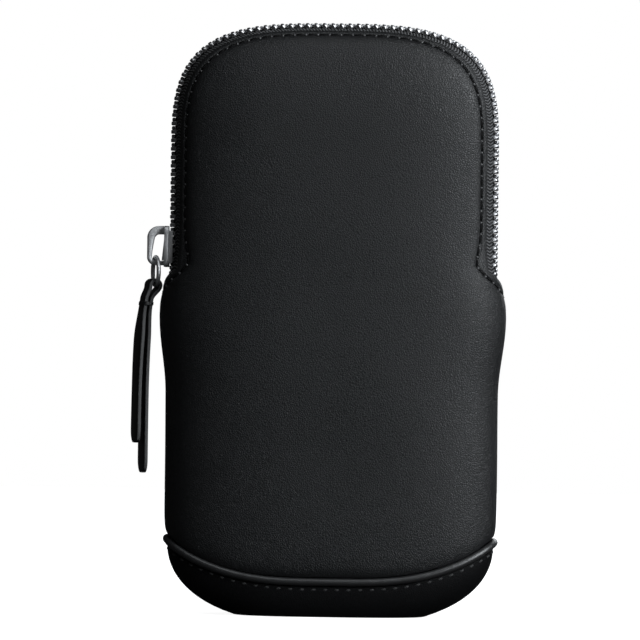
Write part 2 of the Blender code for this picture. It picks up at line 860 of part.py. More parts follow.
BAIL_CORNER = 0.0016
ARC_STEPS = 4
bail_foot = SLIDER_FACE + CLEARANCE
bail_far = SLIDER_FACE + BAIL_REACH - BAIL_THICKNESS / 2
bail_low = SLIDER_LOW + BAIL_THICKNESS
bail_high = SLIDER_LOW + SLIDER_LENGTH - BAIL_THICKNESS / 2
bail_path = [Vector((bail_foot, bail_low))]
bail_path += arc(
    (bail_far - BAIL_CORNER, bail_low + BAIL_CORNER), BAIL_CORNER, -math.pi / 2, 0.0, ARC_STEPS
)
bail_path += arc(
    (bail_far - BAIL_CORNER, bail_high - BAIL_CORNER), BAIL_CORNER, 0.0, math.pi / 2, ARC_STEPS
)
bail_path += [Vector((bail_foot, bail_high))]
strip(
    "slider_bail",
    bail_path,
    BAIL_THICKNESS,
    [BAIL_WIDTH] * len(bail_path),
    (Vector(), OUTWARD, UPWARD, REARWARD),
    False,
    "metal",
)

# The jump ring hangs in the bail, turned a little from square

RING_SIDES = 8
RING_SEGMENTS = 24
ring_across = -(bail_far - BAIL_THICKNESS / 2 - 2 * CLEARANCE - RING_WIRE)
bar_reach = math.hypot(BAIL_THICKNESS, BAIL_WIDTH) / 2
ring_top = bail_low + bar_reach + CLEARANCE + RING_WIRE
ring_middle = ring_top - RING_RADIUS
ring_bottom = ring_middle - RING_RADIUS
ring_pivot = bpy.data.objects.new("ring_pivot", None)
ring_pivot.location = (ring_across, 0.0, bail_low)
bpy.context.scene.collection.objects.link(ring_pivot)
bpy.ops.mesh.primitive_torus_add(
    major_radius=RING_RADIUS,
    minor_radius=RING_WIRE,
    major_segments=RING_SEGMENTS,
    minor_segments=RING_SIDES,
)
jump_ring = bpy.context.object
jump_ring.name = "pull_ring"
jump_ring.parent = ring_pivot
jump_ring.location = (0.0, 0.0, ring_middle - bail_low)
jump_ring.rotation_euler = (0.0, math.pi / 2, RING_TURN)
finish(jump_ring, "metal")

# The leather pull: one strap folded over the ring, its two tails of unlike length

RING_LINE = Vector((-math.sin(RING_TURN), math.cos(RING_TURN), 0.0))
RING_NORMAL = Vector((math.cos(RING_TURN), math.sin(RING_TURN), 0.0))
PULL_ORIGIN = Vector((ring_across, 0.0, 0.0))
LOOP_STEPS = 8
tail_step = (PULL_TAIL_GAP + PULL_THICKNESS) / 2
neck_low = ring_bottom - 2 * PULL_LOOP_RADIUS
TIE_GAP = CLEARANCE
TAIL_TIP = 0.0030
TAIL_MIDDLE_SHARE = 0.5


def lean_at(height):
    """How far outwards the tails have moved at a height below the neck."""
    return PULL_LOOP_RADIUS + PULL_LEAN * (neck_low - height)


def tail(sign, length):
    """(across, height) down one tail, from the neck to its tip."""
    low = neck_low - length
    middle = lerp(neck_low, low, TAIL_MIDDLE_SHARE)
    heights = [neck_low, neck_low - PULL_TIE_HEIGHT, middle, low + TAIL_TIP, low]
    return [Vector((sign * tail_step - lean_at(height), height)) for height in heights]


loop_side = PULL_LOOP_RADIUS + PULL_THICKNESS / 2 - TIE_GAP
loop_middle = -(loop_side - PULL_THICKNESS / 2 - RING_WIRE - CLEARANCE)
loop = arc((loop_middle, ring_bottom), loop_side, 0.0, math.pi, LOOP_STEPS)
pull_path = list(reversed(tail(1, LONG_TAIL_LENGTH))) + loop + tail(-1, SHORT_TAIL_LENGTH)
TIP_SHARE = 0.55
tail_widths = [PULL_NECK_WIDTH, PULL_NECK_WIDTH, PULL_WIDTH, PULL_WIDTH, PULL_WIDTH * TIP_SHARE]
pull_widths = list(reversed(tail_widths)) + [PULL_NECK_WIDTH] * len(loop) + tail_widths
strip(
    "pull_strap",
    pull_path,
    PULL_THICKNESS,
    pull_widths,
    (PULL_ORIGIN, RING_NORMAL, UPWARD, RING_LINE),
    False,
    "leather",
)

# A wound tie holds the two tails together under the ring

tie_top = neck_low - TIE_GAP
tie_low = tie_top - PULL_TIE_HEIGHT + 2 * TIE_GAP
tie_middle = -lean_at((tie_top + tie_low) / 2)
TIE_WALL = 0.0008
tie_reach = tail_step + PULL_THICKNESS / 2 + TIE_GAP + TIE_WALL / 2
tie_side = PULL_NECK_WIDTH / 2 + TIE_GAP + TIE_WALL / 2
tie_path = [
    Vector((tie_middle - tie_reach, -tie_side)),
    Vector((tie_middle + tie_reach, -tie_side)),
    Vector((tie_middle + tie_reach, tie_side)),
    Vector((tie_middle - tie_reach, tie_side)),
]
tie_origin = PULL_ORIGIN + UPWARD * ((tie_top + tie_low) / 2)
strip(
    "pull_tie",
    tie_path,
    TIE_WALL,
    [tie_top - tie_low] * len(tie_path),
    (tie_origin, RING_NORMAL, RING_LINE, UPWARD),
    True,
    "leather",
)

# The strap anchors: a leather tab folded round a flat metal link, left and right

LINK_LOOP = LINK_THICKNESS * math.sqrt(2) / 2 + CLEARANCE
TAB_BACK = CLEARANCE + TAB_THICKNESS / 2
BAR_OUT = CLEARANCE + TAB_THICKNESS + LINK_LOOP
TAB_OUT_TOP_SHARE = 0.8
TAB_WRAP = math.radians(210.0)
TAB_REJOIN_TURNS = 3


def anchor(side_name, hand):
    """One tab and link. The local frame lies on the back panel, outward axis first."""
    spot = surface(hand * ANCHOR_ACROSS / HALF_WIDTH, ANCHOR_HEIGHT, 0.0, REAR)
    inner_share = (ANCHOR_ACROSS - TAB_WIDTH / 2) / HALF_WIDTH
    outer_share = (ANCHOR_ACROSS + TAB_WIDTH / 2) / HALF_WIDTH
    inner = surface(hand * inner_share, ANCHOR_HEIGHT, 0.0, REAR)
    outer = surface(hand * outer_share, ANCHOR_HEIGHT, 0.0, REAR)
    wide = (outer - inner).normalized() * hand
    outward = wide.cross(UPWARD) * -1
    seat = (spot - inner).dot(outward)
    origin = inner + wide * (hand * TAB_WIDTH / 2) + outward * seat
    origin.z = 0.0
    outer_layer = TAB_BACK + TAB_THICKNESS + CLEARANCE
    turn = LINK_LOOP + TAB_THICKNESS / 2
    path = [Vector((TAB_BACK, ANCHOR_TOP))]
    path += arc((BAR_OUT, ANCHOR_HEIGHT), turn, math.pi, math.pi + TAB_WRAP, LOOP_STEPS)
    path += [
        Vector((outer_layer, ANCHOR_HEIGHT + TAB_REJOIN_TURNS * turn)),
        Vector((outer_layer, lerp(ANCHOR_HEIGHT, ANCHOR_TOP, TAB_OUT_TOP_SHARE))),
    ]
    strip(
        f"strap_tab_{side_name}",
        path,
        TAB_THICKNESS,
        [TAB_WIDTH] * len(path),
        (origin, outward, UPWARD, wide),
        False,
        "leather",
    )
    half = (LINK_WIDTH - LINK_THICKNESS) / 2
    drop = LINK_DROP - LINK_THICKNESS
    corner = LINK_CORNER
    link_path = arc((half - corner, -corner), corner, math.pi / 2, 0.0, ARC_STEPS)
    link_path += arc((half - corner, corner - drop), corner, 0.0, -math.pi / 2, ARC_STEPS)
    link_path += arc((corner - half, corner - drop), corner, -math.pi / 2, -math.pi, ARC_STEPS)
    link_path += arc((corner - half, -corner), corner, math.pi, math.pi / 2, ARC_STEPS)
    link_origin = origin + outward * BAR_OUT + UPWARD * ANCHOR_HEIGHT
    link = strip(
        f"strap_link_{side_name}",
        link_path,
        LINK_THICKNESS,
        [LINK_THICKNESS] * len(link_path),
        (Vector(), wide, UPWARD, outward),
        True,
        "metal",
    )
    link.location = link_origin
    return link_origin, wide


ANCHORS = [anchor("left", -1), anchor("right", 1)]

for pivot, line in ANCHORS:
    print("strap link bar", [round(v, 6) for v in pivot], [round(v, 6) for v in line])
print("ring pivot", round(ring_across, 6), round(bail_low, 6), "pull pivot", round(ring_bottom, 6))
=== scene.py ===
import bisect
import math

import bpy
from mathutils import Matrix, Vector, kdtree, noise


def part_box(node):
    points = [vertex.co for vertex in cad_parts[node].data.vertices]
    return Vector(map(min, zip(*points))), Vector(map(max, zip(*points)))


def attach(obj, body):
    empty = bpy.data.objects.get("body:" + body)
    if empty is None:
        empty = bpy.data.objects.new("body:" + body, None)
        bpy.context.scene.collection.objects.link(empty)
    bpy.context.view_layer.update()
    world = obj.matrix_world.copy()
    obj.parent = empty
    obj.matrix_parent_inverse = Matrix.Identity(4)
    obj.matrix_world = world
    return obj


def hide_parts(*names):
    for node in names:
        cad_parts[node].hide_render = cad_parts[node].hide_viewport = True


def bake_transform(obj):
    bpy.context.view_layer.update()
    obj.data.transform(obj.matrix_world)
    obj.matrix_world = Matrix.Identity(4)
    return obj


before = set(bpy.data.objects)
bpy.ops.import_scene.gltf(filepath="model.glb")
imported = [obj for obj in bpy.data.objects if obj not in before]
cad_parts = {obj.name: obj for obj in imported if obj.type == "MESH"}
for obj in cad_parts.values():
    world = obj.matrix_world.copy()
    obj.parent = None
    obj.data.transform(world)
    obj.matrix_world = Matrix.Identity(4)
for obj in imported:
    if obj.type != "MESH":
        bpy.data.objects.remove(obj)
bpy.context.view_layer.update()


# The boot
# The foot of the pouch is a cup of stiff black leather, pressed over a last. Its base is flat, and
# its upper edge is sewn together with the panels and the piping in one seam that dips in the middle.

FRONT, REAR = -1, 1
HALF_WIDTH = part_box("rear_teeth")[1].x
BODY_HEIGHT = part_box("rear_teeth")[1].z
HALF_DEPTH = -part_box("front_panel")[0].y
SECTION_POWER = 3.0
ARCH_RISE = 0.040
ARCH_POWER = 3.3
ARCH_BASE = BODY_HEIGHT - ARCH_RISE
HIP_SWELL = 0.0022
HIP_HEIGHT = 0.091
HIP_REACH = 0.024
FOOT_RISE = 0.024
FOOT_CUT = 0.0035
FOOT_WIDTH_POWER = 2.4
FOOT_DEPTH_POWER = 4.0
SEAM_LOW = 0.0107
SEAM_LIFT = 0.0119
SEAM_POWER = 3.5
PIPING_RADIUS = 0.0012
LEATHER = 0.0015
CLEARANCE = 0.0003
SEAM_MARGIN = PIPING_RADIUS + CLEARANCE
SHARP_ANGLE = 1.05


def lerp(low, high, share):
    return low + (high - low) * share


def clamped(share):
    return max(0.0, min(1.0, share))


def eased(share):
    """A share that starts and ends gently."""
    share = clamped(share)
    return share * share * (3 - 2 * share)


def rounding(share, power):
    """How far a rounded outline reaches along one axis, at a share of its reach along the other."""
    return max(0.0, 1 - share**power) ** (1 / power)


def foot_share(z, inset):
    return max(0.0, (FOOT_RISE - z) / (FOOT_RISE + FOOT_CUT - inset))


def half_width(z, inset):
    swell = 0.0
    if abs(z - HIP_HEIGHT) < HIP_REACH:
        swell = HIP_SWELL * (1 + math.cos(math.pi * (z - HIP_HEIGHT) / HIP_REACH)) / 2
    return (HALF_WIDTH + swell - inset) * rounding(foot_share(z, inset), FOOT_WIDTH_POWER)


def half_depth(z, inset):
    return (HALF_DEPTH - inset) * rounding(foot_share(z, inset), FOOT_DEPTH_POWER)


def bow(reach_share):
    """How deep the section is, as a share of its half depth, at a share of its half width."""
    return rounding(reach_share, SECTION_POWER)


def form(across_share, height, inset, side):
    """A point of the pouch's outer form, set in. In the arch, height is that of the middle line."""
    if height <= ARCH_BASE:
        reach_share = abs(across_share)
        x = half_width(height, inset) * across_share
        z = height
        depth = half_depth(height, inset)
    else:
        up_share = (height - ARCH_BASE) / ARCH_RISE
        reach_share = max(abs(across_share), up_share)
        spread = abs(across_share) ** ARCH_POWER + up_share**ARCH_POWER
        scale = reach_share / spread ** (1 / ARCH_POWER)
        x = (HALF_WIDTH - inset) * across_share * scale
        z = ARCH_BASE + (ARCH_RISE - inset) * up_share * scale
        depth = HALF_DEPTH - inset
    return Vector((x, side * depth * bow(reach_share), z))


def seam_height(across_share):
    return SEAM_LOW + SEAM_LIFT * abs(across_share) ** SEAM_POWER


def seam_side(across_share, margin):
    """How far above or below the seam a line lies that keeps its margin on the seam's slope."""
    slope = SEAM_LIFT * SEAM_POWER * abs(across_share) ** (SEAM_POWER - 1) / HALF_WIDTH
    return margin * math.hypot(1, slope)


def laid(name, rows):
    """A grid whose points are laid onto rows of places, each row from left to right."""
    bpy.ops.object.select_all(action="DESELECT")
    steps, lifts = len(rows[0]) - 1, len(rows) - 1
    bpy.ops.mesh.primitive_grid_add(x_subdivisions=steps, y_subdivisions=lifts, size=2.0)
    piece = bpy.context.object
    piece.name = piece.data.name = name
    for point in piece.data.vertices:
        column = round((point.co.x + 1) / 2 * steps)
        row = round((point.co.y + 1) / 2 * lifts)
        point.co = rows[row][column]
    piece.data.update()
    return piece


def picked(piece):
    """Make this the only piece selected, and the active one."""
    bpy.ops.object.select_all(action="DESELECT")
    piece.select_set(True)
    bpy.context.view_layer.objects.active = piece


def applied(piece, kind, **settings):
    """Give the piece a modifier with these settings and apply it."""
    picked(piece)
    change = piece.modifiers.new(kind.title(), kind)
    for setting, value in settings.items():
        setattr(change, setting, value)
    bpy.ops.object.modifier_apply(modifier=change.name)
    return piece


def edges_rounded(piece, width, segments=2, angle=SHARP_ANGLE):
    """Bevel all edges that turn by more than an angle."""
    return applied(piece, "BEVEL", width=width, segments=segments, limit_method="ANGLE", angle_limit=angle)


def edit_all(piece):
    """Open one piece in edit mode with everything selected."""
    picked(piece)
    bpy.ops.object.mode_set(mode="EDIT")
    bpy.ops.mesh.select_all(action="SELECT")


def outwards(piece):
    """Leave edit mode with all faces turned outwards."""
    bpy.ops.mesh.select_all(action="SELECT")
    bpy.ops.mesh.normals_make_consistent(inside=False)
    bpy.ops.object.mode_set(mode="OBJECT")
    return piece


def sewn_shut(piece, gap=0.00002):
    """Merge the meeting edges of a laid grid and turn its faces outwards."""
    edit_all(piece)
    bpy.ops.mesh.remove_doubles(threshold=gap)
    return outwards(piece)


def editing(piece, mode="FACE"):
    """Open one piece in edit mode and close it again with nothing selected."""
    picked(piece)
    bpy.ops.object.mode_set(mode="EDIT")
    bpy.ops.mesh.select_mode(type=mode)
    bpy.ops.mesh.select_all(action="DESELECT")
    bpy.ops.object.mode_set(mode="OBJECT")


def edit_edges(piece, chosen):
    """Select the edges whose two ends a test picks, and stay in edit mode."""
    editing(piece, "EDGE")
    for edge in piece.data.edges:
        edge.select = chosen(*[piece.data.vertices[i].co for i in edge.vertices])
    bpy.ops.object.mode_set(mode="EDIT")


def smooth(piece, degrees=60.0):
    """Shade smooth, except where faces meet at more than an angle."""
    picked(piece)
    bpy.ops.object.shade_smooth_by_angle(angle=math.radians(degrees))
    return piece


class Sum:
    """A socket of a finish's nodes, on which sums are written as on a number."""

    def __init__(self, finish, socket):
        self.finish = finish
        self.socket = socket

    def maths(self, operation, *terms):
        return self.finish.node("ShaderNodeMath", {"operation": operation}, dict(enumerate(terms)))

    def __add__(self, other):
        return self.maths("ADD", self, other)

    def __sub__(self, other):
        return self.maths("SUBTRACT", self, other)

    def __rsub__(self, other):
        return self.maths("SUBTRACT", other, self)

    def __mul__(self, other):
        return self.maths("MULTIPLY", self, other)

    def __pow__(self, other):
        return self.maths("POWER", self, other)

    def sine(self):
        return self.maths("SINE", self)

    __radd__ = __add__
    __rmul__ = __mul__


class Finish:
    """A material whose nodes are added one by one."""

    def __init__(self, name):
        self.material = bpy.data.materials.new(name)
        self.material.use_nodes = True
        self.tree = self.material.node_tree
        self.shader = self.tree.nodes["Principled BSDF"]

    def node(self, kind, settings=None, sockets=None, output=0):
        """Add a node of this type: its settings first, then its sockets' values or links."""
        made = self.tree.nodes.new(kind)
        for setting, value in (settings or {}).items():
            if setting == "stops":
                ramp = made.color_ramp.elements
                while len(ramp) < len(value):
                    ramp.new(1.0)
                for stop, (place, shade) in zip(ramp, value):
                    stop.position = place
                    stop.color = (shade, shade, shade, 1.0)
            else:
                setattr(made, setting, value)
        self.feed(made, sockets or {})
        return Sum(self, made.outputs[output])

    def feed(self, made, sockets):
        for key, value in sockets.items():
            if isinstance(value, Sum):
                self.tree.links.new(value.socket, made.inputs[key])
            else:
                made.inputs[key].default_value = value

    def place(self):
        """The place on the piece, in metres."""
        return self.node("ShaderNodeTexCoord", output=3)

    def parts(self, place):
        """A place's three parts, each as a number."""
        split = self.tree.nodes.new("ShaderNodeSeparateXYZ")
        self.feed(split, {0: place})
        return [Sum(self, socket) for socket in split.outputs]

    def speckle(self, place, scale, detail=2.0, roughness=0.5):
        sockets = {"Vector": place, "Scale": scale, "Detail": detail, "Roughness": roughness}
        return self.node("ShaderNodeTexNoise", {}, sockets)

    def shade(self, mask, dark, light):
        """A colour between two, by a mask."""
        sockets = {0: mask, 6: dark, 7: light}
        return self.node("ShaderNodeMix", {"data_type": "RGBA"}, sockets, output=2)

    def bump(self, height, distance, strength=1.0):
        sockets = {"Height": height, "Distance": distance, "Strength": strength}
        return self.node("ShaderNodeBump", {}, sockets)

    def surface(self, sockets):
        self.feed(self.shader, sockets)
        return self.material


def leather_finish(name, dark, light, roughness, grain_size, grain_depth, gloss=0.5):
    """Black grained leather: small creased cells, finer pores, and a dull and a shinier cast."""
    leather = Finish(name)
    place = leather.place()
    wander = leather.speckle(place, 0.35 / grain_size, 3.0)
    bent = leather.node(
        "ShaderNodeVectorMath",
        {"operation": "MULTIPLY_ADD"},
        {0: leather.node("ShaderNodeTexNoise", {}, {"Vector": place, "Scale": 0.5 / grain_size}, 1),
         1: (grain_size, grain_size, grain_size), 2: place},
    )
    cells = leather.node(
        "ShaderNodeTexVoronoi",
        {"feature": "DISTANCE_TO_EDGE"},
        {"Vector": bent, "Scale": 1 / grain_size},
    )
    creases = leather.node(
        "ShaderNodeValToRGB", {"stops": [(0.0, 0.0), (0.16, 0.75), (0.42, 1.0)]}, {0: cells}
    )
    pores = leather.speckle(place, 3.2 / grain_size, 2.0, 0.6)
    height = creases * (0.6 + 0.5 * wander) + pores * 0.35
    cast = leather.speckle(place, 26.0, 3.0)
    # The creases get a darker base colour: painted shade in the grain's valleys. The cast's tone varies at
    # random.
    return leather.surface({
        "Base Color": leather.shade(cast * 0.6 + creases * 0.4, dark, light),
        "Roughness": roughness + (cast - 0.5) * 0.10 + (1 - creases) * 0.10,
        "Specular IOR Level": gloss,
        "Normal": leather.bump(height, grain_depth),
    })


boot_leather = leather_finish(
    "boot_leather", (0.0030, 0.0030, 0.0033, 1.0), (0.0062, 0.0062, 0.0067, 1.0),
    roughness=0.46, grain_size=0.00060, grain_depth=0.00006, gloss=0.10,
)

ROUND_STEPS = 160
CLOSENESS = 1.5
BOOT_ROWS = 26
FLOOR_SHARES = [0.05, 0.25, 0.45, 0.65, 0.82, 0.93, 0.985]
FLOOR_HOLE_SHARE = 0.04
BOOT_EDGE_TUCK = 0.0003
BOOT_TUCK_REACH = 0.0012
BOOT_EDGE_ROUND = 0.00035


def round_shares(steps):
    """(across share, side) all the way round the pouch, from the left side over the front."""
    quarter = steps // 4
    places = []
    for i in range(steps + 1):
        half_share = (i % (2 * quarter)) / quarter
        out_share = 1 - abs(1 - half_share)
        hand = 1 if quarter < i <= 3 * quarter else -1
        across = hand * math.cos(math.pi / 2 * out_share**CLOSENESS) ** (2 / SECTION_POWER)
        places.append((across, FRONT if i <= 2 * quarter else REAR))
    return places


def boot_row(place_share, inset):
    """A line round the boot, from the floor at 0 to its upper edge at 1."""
    row = []
    for across, side in round_shares(ROUND_STEPS):
        top = seam_height(across) - seam_side(across, SEAM_MARGIN)
        row.append(form(across, lerp(inset, top, place_share), inset, side))
    return row


boot_rows = []
floor_line = boot_row(0.0, 0.0)
for share in FLOOR_SHARES:
    boot_rows.append([Vector((p.x * share, p.y * share, 0.0)) for p in floor_line])
for i in range(BOOT_ROWS + 1):
    place_share = math.sin(math.pi / 2 * i / BOOT_ROWS)
    edge_gap = (1 - place_share) * SEAM_LOW
    boot_rows.append(boot_row(place_share, BOOT_EDGE_TUCK * math.exp(-edge_gap / BOOT_TUCK_REACH)))
boot = sewn_shut(laid("boot_leather_cup", boot_rows))
edit_edges(boot, lambda *ends: all(p.length < HALF_WIDTH * FLOOR_HOLE_SHARE for p in ends))
bpy.ops.mesh.edge_face_add()
outwards(boot)
applied(boot, "SOLIDIFY", thickness=LEATHER, offset=-1.0, use_even_offset=True)
smooth(edges_rounded(boot, BOOT_EDGE_ROUND), degrees=40.0)
boot.data.materials.append(boot_leather)
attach(boot, "root")
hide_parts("boot")


# The base board
# A stiff pressed-fibre board lies on the boot's floor and lets the pouch stand. It is die-cut and
# dropped in before the lining is sewn. The part's own solid has the right shape, so it stays.

board = Finish("base_board")
fibre = board.speckle(board.place(), 900.0, 4.0, 0.7)
flecks = board.speckle(board.place(), 160.0, 2.0)
board.surface({
    "Base Color": board.shade(fibre * 0.7 + flecks * 0.3, (0.03, 0.028, 0.025, 1), (0.075, 0.07, 0.06, 1)),
    "Roughness": 0.85 + fibre * 0.1,
    "Normal": board.bump(fibre, 0.00008),
})
board_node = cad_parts["base_board"]
board_node.data.materials.clear()
board_node.data.materials.append(board.material)


# The back panel
# One piece of black leather, from the seam over the boot to the lip beside the back row of teeth. It
# is padded, turned at the lip and topstitched, and its edges curve away below the ends of the zip.

FOLD_HEIGHT = 0.100
NOTCH_LOW = 0.0994
NOTCH_RISE = 0.0053
NOTCH_POWER = 1.25
NOTCH_TOP = NOTCH_LOW + NOTCH_RISE
LIP_SHARE = 0.93
LIP_DEPTH = HALF_DEPTH * bow(LIP_SHARE)
SIDE_GAP = 0.00004
EDGE_RUNS = [0.0, 0.00045, 0.0007, 0.00095, 0.0012, 0.00145, 0.0017, 0.0019, 0.0021, 0.0023, 0.0025]
EDGE_RUNS += [0.0027, 0.0029, 0.00315, 0.0034, 0.0037, 0.0041, 0.0046, 0.0052, 0.006, 0.007]
MIDDLE_COLUMNS = 15
MIDDLE_CLOSENESS = 0.9
LOWER_ROWS = 34
NOTCH_STEP = 0.00035
NOTCH_BAND = (0.0935, 0.1100)
LEG_ROWS = 13
ARCH_MIDDLE_ROWS = 12
STITCH_HEIGHTS = [0.0970, 0.0981, 0.1003, 0.1021, 0.1032, 0.1062, 0.1084, 0.1104, 0.1125, 0.1160]
STITCH_SHARES = [1.0, 0.9945, 0.968, 0.935, 0.908, 0.862, 0.868, 0.877, 0.887, 0.896]
LIP_STITCH_SHARE = 0.896
STITCH_GROOVE = 0.00034
STITCH_GROOVE_REACH = 0.00036
PADDING_SWELL = 0.0009
PADDING_REACH = 0.0015
BACK_SWELL = 0.0005
LIP_SWELL = 0.00018
SIDE_TUCK = 0.00022
SIDE_TUCK_REACH = 0.0008
SEAM_TUCK = 0.00022
SEAM_TUCK_REACH = 0.0007
SLUMP = 0.00022
SLUMP_SIZE = 0.030
PADDING_SIDE_REACH = 0.0025
PADDING_SEAM_REACH = 0.0022
FLAT_SPOT_SHARE = 0.8
FLAT_SPOT_REACH = 0.014
LIP_SWELL_PLACE = 0.0012
LIP_SWELL_REACH = 0.0008
PANEL_EDGE_ROUND = 0.0004
RIM_STEPS = 420
SECTION_STEPS = 1500
HANDS = ((-1, "left"), (1, "right"))

section_angles = [math.pi / 2 * (i / SECTION_STEPS) ** CLOSENESS for i in range(SECTION_STEPS + 1)]
section_shares = [max(0.0, math.cos(angle)) ** (2 / SECTION_POWER) for angle in section_angles]
section_depths = [HALF_DEPTH * math.sin(angle) ** (2 / SECTION_POWER) for angle in section_angles]
section_runs = [0.0]
arch_runs = [0.0]
for i in range(SECTION_STEPS):
    rise = section_depths[i + 1] - section_depths[i]
    slide = section_shares[i] - section_shares[i + 1]
    section_runs.append(section_runs[-1] + math.hypot(rise, slide * HALF_WIDTH))
    arch_runs.append(arch_runs[-1] + math.hypot(rise, slide * ARCH_RISE))


def between(x, xs, ys):
    """Read ys at x, straight between the points."""
    if x <= xs[0]:
        return ys[0]
    if x >= xs[-1]:
        return ys[-1]
    i = bisect.bisect_right(xs, x)
    return lerp(ys[i - 1], ys[i], (x - xs[i - 1]) / (xs[i] - xs[i - 1]))


def edge_run(height):
    """How far round from the side seam a panel's edge lies."""
    depth = LIP_DEPTH
    if height < NOTCH_TOP:
        rise_share = max(0.0, (height - NOTCH_LOW) / NOTCH_RISE)
        depth = LIP_DEPTH * rise_share ** (1 / NOTCH_POWER)
    return between(max(depth, SIDE_GAP / 2), section_depths, section_runs)


def panel_shares(height, edge_columns, middle_columns):
    """Across shares of a panel's columns: close together by its edges, wider in the middle."""
    edge = edge_run(height)
    runs = [edge + run for run in edge_columns]
    for i in range(1, middle_columns + 1):
        share = (i / middle_columns) ** MIDDLE_CLOSENESS
        runs.append(lerp(runs[len(edge_columns) - 1], section_runs[-1], share))
    left = [-between(run, section_runs, section_shares) for run in runs]
    return left[:-1] + [0.0] + [-share for share in reversed(left[:-1])]


def arch_heights(edge_rows, middle_rows):
    """Heights of the rows over the arch, close together towards the lip."""
    lip_run = between(LIP_DEPTH, section_depths, arch_runs)
    runs = [lip_run + run for run in edge_rows]
    for i in range(1, middle_rows):
        runs.append(lerp(runs[len(edge_rows) - 1], arch_runs[-1], i / middle_rows))
    shares = [between(run, arch_runs, section_shares) for run in reversed(runs)]
    return [ARCH_BASE + ARCH_RISE * share for share in shares]


def level(height):
    return (height, lambda across: height)


def above_seam(top, share, margin):
    """A row that follows the piped seam at share 0 and straightens to level at share 1."""
    return (top, lambda across: lerp(seam_height(across) + seam_side(across, margin), top, share))


def panel_rows():
    """The rows of a panel: its height at the edge, and its height at each across share."""
    low, high = NOTCH_BAND
    rows = []
    for i in range(LOWER_ROWS):
        rows.append(above_seam(low, (i / LOWER_ROWS) ** CLOSENESS, SEAM_MARGIN))
    count = round((high - low) / NOTCH_STEP)
    rows += [level(lerp(low, high, i / count)) for i in range(count)]
    rows += [level(lerp(high, ARCH_BASE, i / LEG_ROWS)) for i in range(LEG_ROWS + 1)]
    return rows + [level(height) for height in arch_heights(EDGE_RUNS, ARCH_MIDDLE_ROWS)]


def outward_row(row, side):
    """A row in the order that turns its panel's face outwards."""
    return row if side == FRONT else list(reversed(row))


def panel_points(side):
    points = []
    for edge_height, height_at in panel_rows():
        shares = panel_shares(edge_height, EDGE_RUNS, MIDDLE_COLUMNS)
        line = [form(share, height_at(share), 0.0, side) for share in shares]
        points.append(outward_row(line, side))
    return points


def reach_of(place):
    """How far out of the middle a place lies, as a share of the way to the form's outline."""
    if place.z <= ARCH_BASE:
        return abs(place.x) / half_width(place.z, 0.0)
    up = (place.z - ARCH_BASE) / ARCH_RISE
    return (abs(place.x / HALF_WIDTH) ** ARCH_POWER + up**ARCH_POWER) ** (1 / ARCH_POWER)


def over_arch(reach_share, depth, inset, turns):
    """Points over the arch, from the left leg to the right one."""
    line = []
    for turn in turns:
        a = math.copysign(abs(math.cos(turn)) ** (2 / ARCH_POWER), -math.cos(turn))
        b = abs(math.sin(turn)) ** (2 / ARCH_POWER)
        x = (HALF_WIDTH - inset) * reach_share * a
        line.append(Vector((x, depth, ARCH_BASE + (ARCH_RISE - inset) * reach_share * b)))
    return line


def stitch_path(side, inset=0.0):
    """The line of the lip's topstitching: slanting over the notch, up the leg and round the arch."""
    leg = []
    for i in range(RIM_STEPS):
        height = lerp(STITCH_HEIGHTS[0], ARCH_BASE, i / RIM_STEPS)
        leg.append(form(-between(height, STITCH_HEIGHTS, STITCH_SHARES), height, inset, side))
    turns = [math.pi * i / RIM_STEPS for i in range(RIM_STEPS + 1)]
    depth = side * (HALF_DEPTH - inset) * bow(LIP_STITCH_SHARE)
    arch = over_arch(LIP_STITCH_SHARE, depth, inset, turns)
    return leg + arch + [Vector((-p.x, p.y, p.z)) for p in reversed(leg)]


def nearness(points):
    """A tree that answers how far a place is from a line of points."""
    tree = kdtree.KDTree(len(points))
    for i, point in enumerate(points):
        tree.insert(point, i)
    tree.balance()
    return lambda place: tree.find(place)[2]


def dense(points, step=0.00015):
    """The same line with a point at least at every step."""
    line = []
    for start, end in zip(points, points[1:]):
        count = max(1, math.ceil((end - start).length / step))
        line += [start.lerp(end, i / count) for i in range(count)]
    return line + [points[-1]]


def pressed(rows, side, swell, flat_spots=()):
    """How far each point of a panel stands out: padding, stitch groove, tucked seams and slump."""
    to_stitch = nearness(dense(stitch_path(side)))
    to_seam = nearness(dense(rows[0]))
    sides = [row[0] for row in rows if row[0].z < NOTCH_LOW]
    ends = [row[-1] for row in rows if row[-1].z < NOTCH_LOW]
    to_side = nearness(dense(sides) + dense(ends))
    rim = [row[0] for row in rows if row[0].z >= NOTCH_LOW]
    far = [row[-1] for row in rows if row[-1].z >= NOTCH_LOW]
    to_rim = nearness(dense(rim) + dense(rows[-1]) + dense(far))
    lifts = []
    for row in rows:
        line = []
        for place in row:
            stitch_gap, seam_gap, side_gap = to_stitch(place), to_seam(place), to_side(place)
            lift = -STITCH_GROOVE * math.exp(-((stitch_gap / STITCH_GROOVE_REACH) ** 2))
            if reach_of(place) < between(place.z, STITCH_HEIGHTS, STITCH_SHARES):
                full = 1 - math.exp(-stitch_gap / PADDING_REACH)
                full *= 1 - math.exp(-side_gap / PADDING_SIDE_REACH)
                full *= 1 - math.exp(-seam_gap / PADDING_SEAM_REACH)
                for middle in flat_spots:
                    off = (place - middle).length / FLAT_SPOT_REACH
                    full *= 1 - FLAT_SPOT_SHARE * math.exp(-(off**4))
                slump = SLUMP * noise.noise(place / SLUMP_SIZE + Vector((side, 0.0, 0.0)))
                lift += (swell + slump) * full
            else:
                off = (to_rim(place) - LIP_SWELL_PLACE) / LIP_SWELL_REACH
                lift += LIP_SWELL * math.exp(-(off**2))
            lift -= SIDE_TUCK * math.exp(-side_gap / SIDE_TUCK_REACH)
            lift -= SEAM_TUCK * math.exp(-seam_gap / SEAM_TUCK_REACH)
            line.append(lift)
        lifts.append(line)
    return lifts


